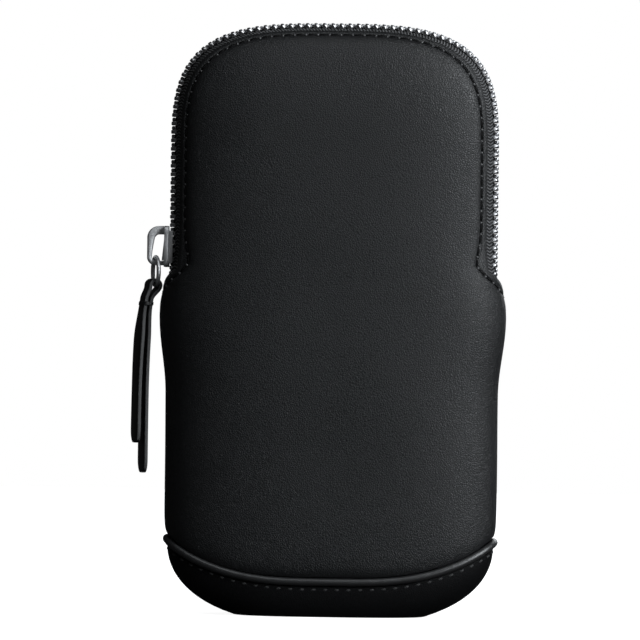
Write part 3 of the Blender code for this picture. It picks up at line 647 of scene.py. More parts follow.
def looked_up(piece, rows, values):
    """For each point of a laid piece, the value that its place has in the rows."""
    value_at = {}
    for row, line in zip(rows, values):
        for place, value in zip(row, line):
            value_at[tuple(round(v, 7) for v in place)] = value
    return [value_at[tuple(round(v, 7) for v in point.co)] for point in piece.data.vertices]


def leather_shell(name, rows, lifts):
    """Lay a panel, give it its thickness inwards, then press the outer face and round the edges."""
    piece = laid(name, rows)
    outer = [point.normal.copy() for point in piece.data.vertices]
    lift_of = looked_up(piece, rows, lifts)
    applied(piece, "SOLIDIFY", thickness=LEATHER, offset=-1.0, use_even_offset=False)
    for point, normal, lift in zip(piece.data.vertices, outer, lift_of):
        point.co += normal * lift
    return smooth(edges_rounded(piece, PANEL_EDGE_ROUND), degrees=50.0)


body_leather = leather_finish(
    "body_leather", (0.0045, 0.0047, 0.0052, 1.0), (0.0100, 0.0104, 0.0113, 1.0),
    roughness=0.39, grain_size=0.00062, grain_depth=0.00008,
)

tab_spots = []
for _, side_name in HANDS:
    tab_low, tab_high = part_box(f"strap_tab_{side_name}")
    tab_middle = (tab_low + tab_high) / 2
    tab_spots.append(Vector((tab_middle.x, HALF_DEPTH, tab_middle.z)))

back_points = panel_points(REAR)
back_panel = leather_shell("back_leather", back_points, pressed(back_points, REAR, BACK_SWELL, tab_spots))
back_panel.data.materials.append(body_leather)
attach(back_panel, "root")
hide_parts("rear_panel")


# The front panel
# One piece of the same leather, padded like a cushion inside its topstitching.

MOUTH_ANGLE = math.radians(25.0)

front_points = panel_points(FRONT)
front_panel = leather_shell("front_leather", front_points, pressed(front_points, FRONT, PADDING_SWELL))
front_panel.data.materials.append(body_leather)
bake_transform(front_panel)
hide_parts("front_panel", "fold_leather", "front_flap")


# The padding
# Thin sheets of grey polyether foam lie between leather and lining: one inside the lower front, one
# inside the part that opens, one inside the back. Each is cut clear of the stitching and the piping.

FOAM = 0.0020
FOAM_INSET = LEATHER + CLEARANCE
FOAM_REACH_SHARE = 0.80
FOAM_COLUMNS = 44
FOAM_ROWS = 30
FOAM_ROUND = 0.0006
FOAM_SEAM_GAP = 0.0045
FOLD_GAP = 0.0006

foam = Finish("foam")
cells = foam.node("ShaderNodeTexVoronoi", {}, {"Vector": foam.place(), "Scale": 2600.0})
clumps = foam.speckle(foam.place(), 240.0, 3.0)
foam.surface({
    "Base Color": foam.shade(cells * 0.6 + clumps * 0.4, (0.035, 0.035, 0.037, 1), (0.10, 0.10, 0.105, 1)),
    "Roughness": 0.92 + clumps * 0.06,
    "Normal": foam.bump(cells, 0.0002),
})


def fold_plane(depth):
    """The height above which a point of the flap clears the lower body when the mouth is open."""
    return FOLD_HEIGHT + FOLD_GAP + depth * math.tan(MOUTH_ANGLE)


def foam_sheet(name, side, low_at, high_at):
    """A foam sheet between two lines of height across the pouch."""
    rows = []
    for j in range(FOAM_ROWS + 1):
        row = []
        for i in range(FOAM_COLUMNS + 1):
            across = FOAM_REACH_SHARE * (2 * i / FOAM_COLUMNS - 1)
            height = lerp(low_at(across), high_at(across), j / FOAM_ROWS)
            row.append(form(across, height, FOAM_INSET, side))
        rows.append(outward_row(row, side))
    sheet = laid(name, rows)
    applied(sheet, "SOLIDIFY", thickness=FOAM, offset=-1.0)
    smooth(edges_rounded(sheet, FOAM_ROUND), degrees=40.0)
    sheet.data.materials.append(foam.material)
    return sheet


def foam_low(across):
    return seam_height(across) + seam_side(across, FOAM_SEAM_GAP)


def foam_fold(across):
    return fold_plane((HALF_DEPTH - FOAM_INSET) * bow(abs(across))) + FOLD_GAP


FOAM_TOP = ARCH_BASE + ARCH_RISE * FOAM_REACH_SHARE

lower_foam = foam_sheet("lower_front_foam", FRONT, foam_low, lambda across: FOLD_HEIGHT - FOLD_GAP)
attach(lower_foam, "root")
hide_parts("front_foam")
upper_foam = foam_sheet("upper_front_foam", FRONT, foam_fold, lambda across: FOAM_TOP)
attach(upper_foam, "flap")
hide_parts("flap_foam")
back_foam = foam_sheet("back_foam", REAR, foam_low, lambda across: FOAM_TOP)
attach(back_foam, "root")
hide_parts("rear_foam")


# The lining
# Two halves of woven polyester, sewn to the zip tapes and to each other along the sides and over the
# board's middle. Both hang in shallow gathers.

LINING = 0.0006
LINING_INSET = FOAM_INSET + FOAM + CLEARANCE
LINING_LIP_INSET = 0.0028
LINING_LIP_SHARE = 0.09
LINING_EDGE_RUNS = [0.0, 0.0005, 0.0012, 0.0022, 0.0035, 0.005, 0.007]
LINING_MIDDLE_COLUMNS = 22
LINING_ROWS = 46
LINING_CLOSENESS = 1.4
LINING_HEIGHTS = [0.0994, 0.1004, 0.1016, 0.1030, 0.1047, 0.109, 0.115, 0.122, 0.128, 0.134, 0.1399]
LINING_ARCH_ROWS = 12
LINING_FLOOR_ROWS = 8
LINING_LOOSE_SHARE = 0.2
GATHER = 0.0007
GATHER_SIZE = 0.012
GATHER_STRETCH = 0.35
GATHER_APART = 4
THREAD_PITCH = 0.00034

lining = Finish("lining")
spot = lining.place()
along, _, up = lining.parts(spot)
warp = (along * (2 * math.pi / THREAD_PITCH)).sine()
weft = (up * (2 * math.pi / THREAD_PITCH)).sine()
check = warp * weft
shading = lining.speckle(spot, 45.0, 2.0)
woven_tone = (check * 0.5 + 0.5) * 0.55 + shading * 0.45
lining.surface({
    "Base Color": lining.shade(woven_tone, (0.010, 0.010, 0.011, 1), (0.030, 0.030, 0.032, 1)),
    "Roughness": 0.72 + shading * 0.12,
    "Normal": lining.bump((warp * warp + weft * weft) * 0.5 + check * 0.5, 0.00006),
})


def lining_inset(reach_share, height):
    """The lining comes out to the tapes near the zip's opening."""
    near = clamped(1 - (LIP_SHARE - reach_share) / LINING_LIP_SHARE)
    near *= clamped((height - NOTCH_LOW) / NOTCH_RISE)
    return lerp(LINING_INSET, LINING_LIP_INSET, eased(near))


def lining_points(side):
    lines = []
    for i in range(LINING_ROWS):
        lines.append((NOTCH_LOW, lerp(LINING_INSET, NOTCH_LOW, (i / LINING_ROWS) ** LINING_CLOSENESS)))
    lines += [(height, height) for height in LINING_HEIGHTS]
    lines += [(ARCH_BASE, height) for height in arch_heights(LINING_EDGE_RUNS, LINING_ARCH_ROWS)]
    points = []
    for edge_height, height in lines:
        row = []
        for share in panel_shares(edge_height, LINING_EDGE_RUNS, LINING_MIDDLE_COLUMNS):
            up_share = max(0.0, (height - ARCH_BASE) / ARCH_RISE)
            reach_share = max(abs(share), up_share)
            place = form(share, height, lining_inset(reach_share, height), side)
            inner = form(share, height, LINING_INSET + GATHER, side)
            fullness = clamped((LIP_SHARE - reach_share) / LINING_LOOSE_SHARE)
            spot = Vector((place.x, GATHER_APART * side, place.z * GATHER_STRETCH))
            fold = 0.5 + 0.5 * noise.noise(spot / GATHER_SIZE)
            row.append(place.lerp(inner, fold * fullness))
        points.append(row)
    middle_y = side * SIDE_GAP / 2
    floor_rows = []
    for j in range(LINING_FLOOR_ROWS):
        share = j / LINING_FLOOR_ROWS
        floor_rows.append([Vector((p.x, lerp(middle_y, p.y, share), p.z)) for p in points[0]])
    points = floor_rows + points
    return [outward_row(row, side) for row in points]


def lining_half(name, side):
    half = laid(name, lining_points(side))
    applied(half, "SOLIDIFY", thickness=LINING, offset=-1.0)
    smooth(half)
    half.data.materials.append(lining.material)
    return half


front_lining = lining_half("front_lining_cloth", FRONT)
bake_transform(front_lining)
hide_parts("front_lining", "fold_lining", "flap_lining")
back_lining = lining_half("back_lining_cloth", REAR)
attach(back_lining, "root")
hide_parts("rear_lining")


# The piping
# A strip of thin black leather folded over a cord and caught in the seam between boot and panels. It
# stands proud all round, and its leather is a little wrinkled.

PIPING_PROUD = 0.0010
PIPING_STEPS = 480
PIPING_SIDES = 14
OUTER_STEP = 0.001
WRINKLE = 0.00007
WRINKLE_SIZE = 0.0016

# The piping's leather is coloured lighter than the body leather: a painted sheen on top of its real gloss.
piping_leather = leather_finish(
    "piping_leather", (0.0110, 0.0110, 0.0115, 1.0), (0.0200, 0.0200, 0.0206, 1.0),
    roughness=0.30, grain_size=0.00042, grain_depth=0.00002, gloss=0.9,
)


def lines_round(height_at, inset):
    """A line round the pouch, and the same line a step further out of its surface."""
    places = round_shares(PIPING_STEPS)
    insets = (inset, inset - OUTER_STEP)
    return [[form(across, height_at(across), i, side) for across, side in places] for i in insets]


def square_to(along, out):
    """The part of a direction that is square to another one."""
    return (out - along * out.dot(along)).normalized()


def tube_rows(path, outer, radius, sides):
    """Rows of points round a path, a little wrinkled. outer is the path further out of the surface."""
    rows = [[] for _ in range(sides + 1)]
    count = len(path)
    closed = (path[0] - path[-1]).length < radius / 10
    for i, middle in enumerate(path):
        before = path[i - 1] if i else path[-2 if closed else 0]
        after = path[i + 1] if i < count - 1 else path[1 if closed else -1]
        along = (after - before).normalized()
        out = square_to(along, outer[i] - middle)
        across = along.cross(out)
        for j in range(sides + 1):
            turn = 2 * math.pi * (j % sides) / sides
            spot = middle / WRINKLE_SIZE + Vector((0.0, 0.0, math.cos(turn)))
            reach = radius + WRINKLE * noise.noise(spot)
            rows[j].append(middle + (out * math.cos(turn) + across * math.sin(turn)) * reach)
    return rows


seam_lines = lines_round(seam_height, PIPING_RADIUS - PIPING_PROUD)
piping = sewn_shut(laid("piping_cord", tube_rows(*seam_lines, PIPING_RADIUS, PIPING_SIDES)))
smooth(piping)
piping.data.materials.append(piping_leather)
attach(piping, "root")
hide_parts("piping")


# The stitching
# Waxed black polyester thread, lockstitched at 3.5 mm: one line along the front lip, one along the
# back lip, and one through the boot's turned edge. Each stitch dips into the leather at its ends.

STITCH_PITCH = 0.0035
LIP_STITCH_LENGTH = 0.0028
BOOT_STITCH_LENGTH = 0.0020
THREAD_RADIUS = 0.00044
THREAD_POWER = 0.45
STITCH_SINK = 0.00045
STITCH_SINK_POWER = 4
STITCH_SLANT = math.radians(4.0)
LIP_STITCH_STAND = -0.00014
BOOT_STITCH_DROP = SEAM_MARGIN + 0.0008
BOOT_STITCH_STAND = -0.00024
BOOT_STITCH_INSET = 0.00018
BRIDGE_LENGTH = 0.0008
BRIDGE_WIDTH = 0.0011
BRIDGE_RISE = 0.00040
BRIDGE_STAND = -0.00012


def thread_finish(name, dark, light, gloss):
    """Waxed thread: fine fibres and the slant of its twist."""
    thread = Finish(name)
    strand = thread.place()
    fuzz = thread.speckle(strand, 2600.0, 2.0)
    twist = thread.node(
        "ShaderNodeTexWave",
        {"bands_direction": "DIAGONAL"},
        {"Vector": strand, "Scale": 900.0, "Distortion": 1.5, "Detail": 1.0},
    )
    return thread.surface({
        "Base Color": thread.shade(twist * 0.6 + fuzz * 0.4, dark, light),
        "Roughness": 0.50 + fuzz * 0.2,
        "Specular IOR Level": gloss,
        "Normal": thread.bump(twist + fuzz * 0.3, 0.00005),
    })


# The same black thread in two colours: this copy is darkened as painted shade, for stitches sunk in their
# groove. The tape cords and the tab stitches use it too.
thread_painted_shade = thread_finish(
    "thread_painted_shade", (0.0015, 0.0015, 0.0015, 1), (0.0045, 0.0045, 0.0048, 1), gloss=0.12
)
# This copy of the thread is lighter: painted highlight on the boot's stitches.
boot_thread_painted_highlight = thread_finish("boot_thread_painted_highlight", (0.020, 0.020, 0.020, 1), (0.050, 0.050, 0.051, 1), gloss=0.5)


def stitch_pattern(length):
    """One stitch: a rounded length of thread whose ends bend down into their holes."""
    bpy.ops.mesh.primitive_uv_sphere_add(segments=8, ring_count=7, radius=1.0, rotation=(0, math.pi / 2, 0))
    stitch = bpy.context.object
    bpy.ops.object.transform_apply(location=False, rotation=True, scale=False)
    for point in stitch.data.vertices:
        along, reach = point.co.x, math.hypot(point.co.y, point.co.z)
        if reach > 1e-6:
            point.co.y *= reach**THREAD_POWER / reach * THREAD_RADIUS
            point.co.z *= reach**THREAD_POWER / reach * THREAD_RADIUS
        point.co.x = along * length / 2
        point.co.z -= STITCH_SINK * along**STITCH_SINK_POWER
    return smooth(stitch, degrees=80.0)


def set_out(name, pattern, spots):
    """Copy a pattern to each spot, and join the copies into one piece."""
    copies = []
    for spot in spots:
        copy = pattern.copy()
        copy.data = pattern.data.copy()
        copy.matrix_world = spot
        bpy.context.scene.collection.objects.link(copy)
        copies.append(copy)
    bpy.data.objects.remove(pattern)
    bpy.ops.object.select_all(action="DESELECT")
    for copy in copies:
        copy.select_set(True)
    bpy.context.view_layer.objects.active = copies[0]
    bpy.ops.object.join()
    piece = bpy.context.object
    piece.name = piece.data.name = name
    bpy.ops.object.transform_apply(location=True, rotation=True, scale=True)
    return piece


def axes(middle, first, second, third):
    """A turn and a place, from three directions and a middle."""
    turn = Matrix((first, second, third)).transposed().to_4x4()
    turn.translation = middle
    return turn


def run_lengths(points):
    """How far along the line each of its points lies."""
    lengths = [0.0]
    for start, end in zip(points, points[1:]):
        lengths.append(lengths[-1] + (end - start).length)
    return lengths


def spaced(path, outer, length, stand, start_share=0.5):
    """Places at the stitch pitch along a path, standing this far out of the surface."""
    lengths = run_lengths(path)
    count = round(lengths[-1] / STITCH_PITCH)
    pitch = lengths[-1] / count

    def at(run, line):
        i = min(len(path) - 2, max(0, bisect.bisect_right(lengths, run) - 1))
        return line[i].lerp(line[i + 1], (run - lengths[i]) / (lengths[i + 1] - lengths[i]))

    spots = []
    for i in range(count):
        run = (i + start_share) * pitch
        middle = at(run, path)
        along = (at(run + length / 2, path) - at(run - length / 2, path)).normalized()
        out = square_to(along, at(run, outer) - middle)
        across = out.cross(along)
        slanted = along * math.cos(STITCH_SLANT) + across * math.sin(STITCH_SLANT)
        spots.append(axes(middle + out * stand, slanted, out.cross(slanted), out))
    return spots


def stitches(name, lines, length, stand, material):
    piece = set_out(name, stitch_pattern(length), spaced(*lines, length, stand))
    piece.data.materials.append(material)
    return piece


def lip_lines(side):
    """The line of a lip's topstitching, and the same line a step further out."""
    return stitch_path(side), stitch_path(side, -OUTER_STEP)


# A much lighter copy of the leather for the swells between stitches: painted highlight where they catch the
# light.
bridge_leather_painted_highlight = leather_finish(
    "bridge_leather_painted_highlight", (0.030, 0.030, 0.031, 1.0), (0.060, 0.060, 0.062, 1.0),
    roughness=0.30, grain_size=0.00042, grain_depth=0.00002, gloss=0.9,
)


def bridge_pattern():
    """The small swell of leather between two stitches."""
    bpy.ops.mesh.primitive_uv_sphere_add(
        segments=8, ring_count=6, radius=1.0, scale=(BRIDGE_LENGTH / 2, BRIDGE_WIDTH / 2, BRIDGE_RISE)
    )
    bpy.ops.object.transform_apply(location=False, rotation=False, scale=True)
    return smooth(bpy.context.object, degrees=80.0)


def bridges(name, side):
    spots = spaced(*lip_lines(side), BRIDGE_LENGTH, BRIDGE_STAND, 1.0)
    piece = set_out(name, bridge_pattern(), spots[:-1])
    piece.data.materials.append(bridge_leather_painted_highlight)
    return piece


front_stitches = stitches(
    "front_lip_stitches", lip_lines(FRONT), LIP_STITCH_LENGTH, LIP_STITCH_STAND, thread_painted_shade
)
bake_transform(front_stitches)
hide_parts("flap_stitch")
front_bridges = bridges("front_lip_bridges", FRONT)
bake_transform(front_bridges)

back_stitches = stitches(
    "back_lip_stitches", lip_lines(REAR), LIP_STITCH_LENGTH, LIP_STITCH_STAND, thread_painted_shade
)
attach(back_stitches, "root")
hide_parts("rear_stitch")
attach(bridges("back_lip_bridges", REAR), "root")


def boot_stitch_height(across):
    return seam_height(across) - seam_side(across, BOOT_STITCH_DROP)


boot_stitches = stitches(
    "boot_stitches", lines_round(boot_stitch_height, BOOT_STITCH_INSET),
    BOOT_STITCH_LENGTH, BOOT_STITCH_STAND, boot_thread_painted_highlight,
)
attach(boot_stitches, "root")
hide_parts("boot_stitch")


# The zip tapes
# Two woven polyester tapes, herringbone on the face, sewn under the leather lips. Each ends in a
# thick cord edge that the teeth are clamped on. The front tape moves with the part that opens.

TAPE = 0.00050
TAPE_LIFT = 0.0002
TAPE_LOW = FOLD_HEIGHT + TAPE_LIFT
TAPE_DEPTHS = [0.0099, 0.0090, 0.0080, 0.0070, 0.0060, 0.0051, 0.0043, 0.0036, 0.0030, 0.0025, 0.0020]
TAPE_INSETS = [0.00180, 0.00184, 0.00190, 0.00198, 0.00206, 0.00208, 0.00202, 0.00188, 0.00172]
TAPE_INSETS += [0.00158, 0.00150]
TAPE_CORD_DEPTH = 0.0022
TAPE_CORD_INSET = 0.0017
TAPE_CORD_RADIUS = 0.00046
TAPE_CORD_SIDES = 8
TAPE_STATIONS = 420
OUTLINE_STEPS = 2400
RIB_PITCH = 0.0010
HERRINGBONE_ROW = 0.0026
RIB_SLANT = 0.35

tape_finish = Finish("tape")
tape_place = tape_finish.node("ShaderNodeAttribute", {"attribute_name": "cloth_place"}, output=1)
along, over, _ = tape_finish.parts(tape_place)
zigzag = over.maths("PINGPONG", over * (1 / HERRINGBONE_ROW), 1.0)
slope = along + zigzag * (HERRINGBONE_ROW * RIB_SLANT)
rib = (slope * (2 * math.pi / RIB_PITCH)).sine() * 0.5 + 0.5
yarn = tape_finish.speckle(tape_finish.place(), 5200.0, 2.0, 0.6)
# The rib crests are coloured far lighter than the black tape: painted highlight on the weave.
lit = rib**3.0 * (0.2 + 1.3 * yarn)
tape_finish.surface({
    "Base Color": tape_finish.shade(lit, (0.0015, 0.0015, 0.0017, 1), (0.17, 0.17, 0.175, 1)),
    "Roughness": 0.62 + yarn * 0.2,
    "Normal": tape_finish.bump(rib + yarn * 0.35, 0.00014),
})

outline_turns = [math.pi * i / OUTLINE_STEPS for i in range(OUTLINE_STEPS + 1)]
outline = over_arch(1.0, 0.0, 0.0, outline_turns)
outline_lengths = run_lengths(outline)
ARCH_LENGTH = outline_lengths[-1]
TAPE_LEG = ARCH_BASE - TAPE_LOW
TAPE_LENGTH = 2 * TAPE_LEG + ARCH_LENGTH


def rim_line(steps, depth, inset, side):
    """Places along the rim from the left leg's foot over the arch, at a depth and inset."""
    reach_share = rounding(depth / (HALF_DEPTH - inset), SECTION_POWER)
    line = []
    for i in range(steps + 1):
        run = TAPE_LENGTH * i / steps
        if TAPE_LEG < run < TAPE_LEG + ARCH_LENGTH:
            turn = between(run - TAPE_LEG, outline_lengths, outline_turns)
            line += over_arch(reach_share, side * depth, inset, [turn])
        else:
            hand = -1 if run <= TAPE_LEG else 1
            height = TAPE_LOW + min(run, TAPE_LENGTH - run)
            line.append(form(hand * reach_share, height, inset, side))
    return line


def closed_ends(piece):
    """Cap the open ends of a bar or cord and turn all its faces outwards."""
    edit_all(piece)
    bpy.ops.mesh.fill_holes(sides=0)
    return outwards(piece)


def cloth(piece, marks):
    """Turn a laid piece into a woven tape. The marks are its points' places on the cloth."""
    places = piece.data.attributes.new("cloth_place", "FLOAT_VECTOR", "POINT")
    for mark, place in zip(marks, places.data):
        place.vector = mark
    applied(piece, "SOLIDIFY", thickness=TAPE, offset=-1.0)
    piece.data.materials.append(tape_finish.material)
    return smooth(piece)


def zip_tape(name, side):
    rows, marks = [], []
    for depth, inset in zip(TAPE_DEPTHS, TAPE_INSETS):
        row = rim_line(TAPE_STATIONS, depth, inset, side)
        rows.append(outward_row(row, side))
        over = TAPE_DEPTHS[0] - depth
        marks.append([(TAPE_LENGTH * i / TAPE_STATIONS, over, 0.0) for i in range(len(row))])
    tape = laid(name, rows)
    return cloth(tape, looked_up(tape, rows, marks))


def tape_cord(name, side):
    """The round cord woven into the tape's edge."""
    insets = (TAPE_CORD_INSET, TAPE_CORD_INSET - OUTER_STEP)
    lines = [rim_line(2 * TAPE_STATIONS, TAPE_CORD_DEPTH, inset, side) for inset in insets]
    cord = closed_ends(sewn_shut(laid(name, tube_rows(*lines, TAPE_CORD_RADIUS, TAPE_CORD_SIDES))))
    smooth(cord)
    cord.data.materials.append(thread_painted_shade)
    return cord


front_tape = zip_tape("front_zip_tape", FRONT)
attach(front_tape, "flap")
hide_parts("front_tape")
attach(tape_cord("front_tape_cord", FRONT), "flap")
back_tape = zip_tape("back_zip_tape", REAR)
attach(back_tape, "root")
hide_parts("rear_tape")
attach(tape_cord("back_tape_cord", REAR), "root")


# The end tabs
# The tails of both tapes are turned in and stitched down inside the notch at each side, which
# closes the pouch below the last teeth.

END_DROP = 0.004
END_TOP = FOLD_HEIGHT - CLEARANCE
END_INSET = 0.0034
END_ROWS = 12
END_COLUMNS = 30
END_PLEAT = 0.00025
END_PLEATS = 3

for hand, side_name in HANDS:
    rows = []
    for j in range(END_ROWS + 1):
        height = lerp(NOTCH_LOW - END_DROP, END_TOP, j / END_ROWS)
        row = []
        for i in range(END_COLUMNS + 1):
            depth = LIP_DEPTH * (2 * i / END_COLUMNS - 1) * hand
            pleat = 0.5 + 0.5 * math.cos(depth / LIP_DEPTH * END_PLEATS * math.pi)
            inset = END_INSET + END_PLEAT * pleat
            reach_share = rounding(abs(depth) / (HALF_DEPTH - inset), SECTION_POWER)
            row.append(form(hand * reach_share, height, inset, math.copysign(1, depth)))
        rows.append(row)
    tab = laid(f"tape_end_{side_name}", rows)
    cloth(tab, [(point.co.z, point.co.y, 0.0) for point in tab.data.vertices])
    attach(tab, "root")
    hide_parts(f"zip_end_tab_{side_name}")


# The teeth
# Bright nickel-plated brass, one row on each tape. Every tooth is a small fork whose two legs are
# squeezed over the tape's cord, and whose head reaches between the two heads opposite.

TOOTH_PITCH = 0.0026
TOOTH_THICKNESS = 0.00125
CHAIN_THICKNESS = 0.0022
TOOTH_BACK = 0.0031
TOOTH_FORK = 0.0016
TOOTH_TIP_REACH = 0.0010
TOOTH_SLOT = 0.0006
TOOTH_SLOT_DEPTH = 0.00170
TOOTH_LEG_LEAN = 0.00040
TOOTH_ROUND = 0.00036
TOOTH_FACE_SHARE = 0.6
HEAD_DRAW_SHARE = 0.84
FRONT_SHIFT_SHARE = 0.05
REAR_SHIFT_SHARE = 0.55
CHAIN_LOW_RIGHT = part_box("top_stop_front")[0].z
STOP_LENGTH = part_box("top_stop_front")[1].z - CHAIN_LOW_RIGHT
CHAIN_LOW_LEFT = CHAIN_LOW_RIGHT + STOP_LENGTH + CLEARANCE


def metal_finish(name, dark, light, roughness, cast, marks, depth):
    """Plated metal. Its cast and its fine marks are noises: (scale, detail, roughness)."""
    metal = Finish(name)
    place = metal.place()
    dulling = metal.speckle(place, *cast)
    return metal.surface({
        "Base Color": metal.shade(dulling, dark, light),
        "Metallic": 1.0,
        "Roughness": roughness + dulling * 0.14,
        "Normal": metal.bump(metal.speckle(place, *marks), depth),
    })


# The teeth and stops get a darker copy of the plating than the slider: painted shade that dims their
# glints.
zip_metal = metal_finish(
    "zip_metal", (0.42, 0.42, 0.43, 1), (0.64, 0.64, 0.65, 1),
    roughness=0.24, cast=(420.0, 3.0, 0.6), marks=(2800.0, 2.0, 0.5), depth=0.000012,
)


def edit_faces(piece, chosen):
    """Select the faces that a test picks and stay in edit mode."""
    editing(piece)
    for face in piece.data.polygons:
        face.select = chosen(face)
    bpy.ops.object.mode_set(mode="EDIT")


def box_block(name, low, high):
    """A cube primitive stretched between two corners."""
    middle = (Vector(low) + Vector(high)) / 2
    size = Vector(high) - Vector(low)
    bpy.ops.mesh.primitive_cube_add(size=1.0, location=middle, scale=size)
    bpy.ops.object.transform_apply(location=True, rotation=True, scale=True)
    block = bpy.context.object
    block.name = block.data.name = name
    return block


def tooth_pattern():
    """One tooth. X runs along the chain, Y towards the opposite row, Z outwards."""
    half = TOOTH_THICKNESS / 2
    tooth = box_block(
        "tooth", (-half, TOOTH_FORK - TOOTH_BACK, -CHAIN_THICKNESS), (half, TOOTH_TIP_REACH, 0.0)
    )
    slot_low = -TOOTH_SLOT_DEPTH - TOOTH_SLOT / 2
    slot_high = -TOOTH_SLOT_DEPTH + TOOTH_SLOT / 2
    for edge in (slot_low, slot_high):
        edit_all(tooth)
        bpy.ops.mesh.bisect(plane_co=(0.0, 0.0, edge), plane_no=(0.0, 0.0, 1.0))
        bpy.ops.object.mode_set(mode="OBJECT")
    edit_faces(tooth, lambda face: face.normal.y < -0.9 and not slot_low < face.center.z < slot_high)
    bpy.ops.mesh.extrude_region_move(TRANSFORM_OT_translate={"value": (0.0, -TOOTH_FORK, -TOOTH_LEG_LEAN)})
    bpy.ops.object.mode_set(mode="OBJECT")
    middle = -CHAIN_THICKNESS / 2
    for point in tooth.data.vertices:
        if point.co.y > 0:
            point.co.x *= HEAD_DRAW_SHARE
            point.co.z = middle + (point.co.z - middle) * HEAD_DRAW_SHARE
    face_low = -TOOTH_SLOT_DEPTH * TOOTH_FACE_SHARE
    edit_edges(tooth, lambda a, b: min(a.z, b.z) > face_low or min(a.y, b.y) > 0)
    bpy.ops.mesh.bevel(offset=TOOTH_ROUND, segments=2, affect="EDGES")
    bpy.ops.object.mode_set(mode="OBJECT")
    return smooth(tooth, degrees=75.0)


def chain_place(run):
    """The chain's outer line at a distance from its left end: place, direction, outward direction."""
    left_leg = ARCH_BASE - CHAIN_LOW_LEFT
    if run <= left_leg:
        return Vector((-HALF_WIDTH, 0.0, CHAIN_LOW_LEFT + run)), Vector((0, 0, 1)), Vector((-1, 0, 0))
    if run >= left_leg + ARCH_LENGTH:
        low = ARCH_BASE - (run - left_leg - ARCH_LENGTH)
        return Vector((HALF_WIDTH, 0.0, low)), Vector((0, 0, -1)), Vector((1, 0, 0))
    i = bisect.bisect_right(outline_lengths, run - left_leg) - 1
    along = (outline[i + 1] - outline[i]).normalized()
    place = outline[i] + along * (run - left_leg - outline_lengths[i])
    return place, along, Vector((-along.z, 0.0, along.x))


CHAIN_LENGTH = (ARCH_BASE - CHAIN_LOW_LEFT) + ARCH_LENGTH + (ARCH_BASE - CHAIN_LOW_RIGHT)
TOOTH_COUNT = round(CHAIN_LENGTH / TOOTH_PITCH)
CHAIN_PITCH = CHAIN_LENGTH / TOOTH_COUNT


def tooth_row(name, side, shift_share):
    spots = []
    for i in range(TOOTH_COUNT):
        run = (i + shift_share) * CHAIN_PITCH + TOOTH_THICKNESS / 2
        place, along, out = chain_place(run)
        ahead = Vector((0.0, -side, 0.0))
        spots.append(axes(place, ahead.cross(out), ahead, out))
    row = set_out(name, tooth_pattern(), spots)
    row.data.materials.append(zip_metal)
    return row


front_teeth = tooth_row("front_tooth_row", FRONT, FRONT_SHIFT_SHARE)
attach(front_teeth, "flap")
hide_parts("front_teeth")
back_teeth = tooth_row("back_tooth_row", REAR, REAR_SHIFT_SHARE)
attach(back_teeth, "root")
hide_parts("rear_teeth")


# The stops
# Three small staples of the same metal. Two hold the slider at the closed end of the zip, and the
# third joins both tapes at the other end.

STOP_ROUND = 0.0003
METAL_ANGLE = 0.6


def rounded(piece, width, segments=3):
    return smooth(edges_rounded(piece, width, segments, METAL_ANGLE))


for node, body in (("top_stop_front", "flap"), ("top_stop_rear", "root"), ("bottom_stop", "root")):
    stop_low, stop_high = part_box(node)
    stop = rounded(box_block(f"{node}_staple", stop_low, stop_high), STOP_ROUND)
    stop.data.materials.append(zip_metal)
    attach(stop, body)
    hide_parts(node)


# The slider
# A zinc die-casting, plated like the teeth: an outer plate with a raised ridge and a plain inner one,
# joined by a post that parts the two rows. Both edges of the outer plate turn down over the teeth.

SLIDER_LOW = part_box("slider_body")[0].z
SLIDER_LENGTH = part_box("slider_body")[1].z - SLIDER_LOW
SLIDER_FACE = -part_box("slider_body")[0].x
SLIDER_PLATE = 0.0012
SLIDER_OUT = SLIDER_FACE - SLIDER_PLATE
SLIDER_CORE = -SLIDER_FACE + SLIDER_PLATE / 2
SLIDER_IN = HALF_WIDTH - CHAIN_THICKNESS - CLEARANCE
SLIDER_HALF = 0.0050
UNDER_HALF = 0.0031
SLIDER_POST = 0.0005
POST_LENGTH_SHARE = 0.33
FLANGE_LOW = TOOTH_BACK + CLEARANCE
FLANGE_WIDTH = 0.0011
FLANGE_DROP = 0.0012
FLANGE_TOP_SHARE = 0.55
SLIDER_ROUND = 0.00042
WALL_THICKNESS = 0.0008
WALL_DROP = 0.0014
WALL_SLANT = 0.0006
WALL_DRAW = 0.0010
WALL_TOP_SHARE = 0.88
RIDGE_HALF = 0.0010
RIDGE_RISE = 0.0009
RIDGE_LOW_SHARE = 0.16
RIDGE_HIGH_SHARE = 0.84
PLATE_UP_SHARES = [0.0, 0.012, 0.045, 0.11, 0.30, 0.45, 0.58, 0.70, 0.82, 0.92, 0.975, 1.0]
PLATE_OUT_SHARES = [0.72, 0.84, 0.95, 1.0, 1.0, 0.965, 0.885, 0.80, 0.745, 0.70, 0.60, 0.42]

# The slider, bail, ring and links get a lighter copy of the plating than the teeth: painted reflection that
# brightens their faces.
hardware_metal = metal_finish(
    "hardware_metal", (0.78, 0.78, 0.79, 1), (0.93, 0.93, 0.94, 1),
    roughness=0.40, cast=(260.0, 4.0, 0.65), marks=(1900.0, 3.0, 0.5), depth=0.00001,
)


def slider_height(share):
    return SLIDER_LOW + SLIDER_LENGTH * share


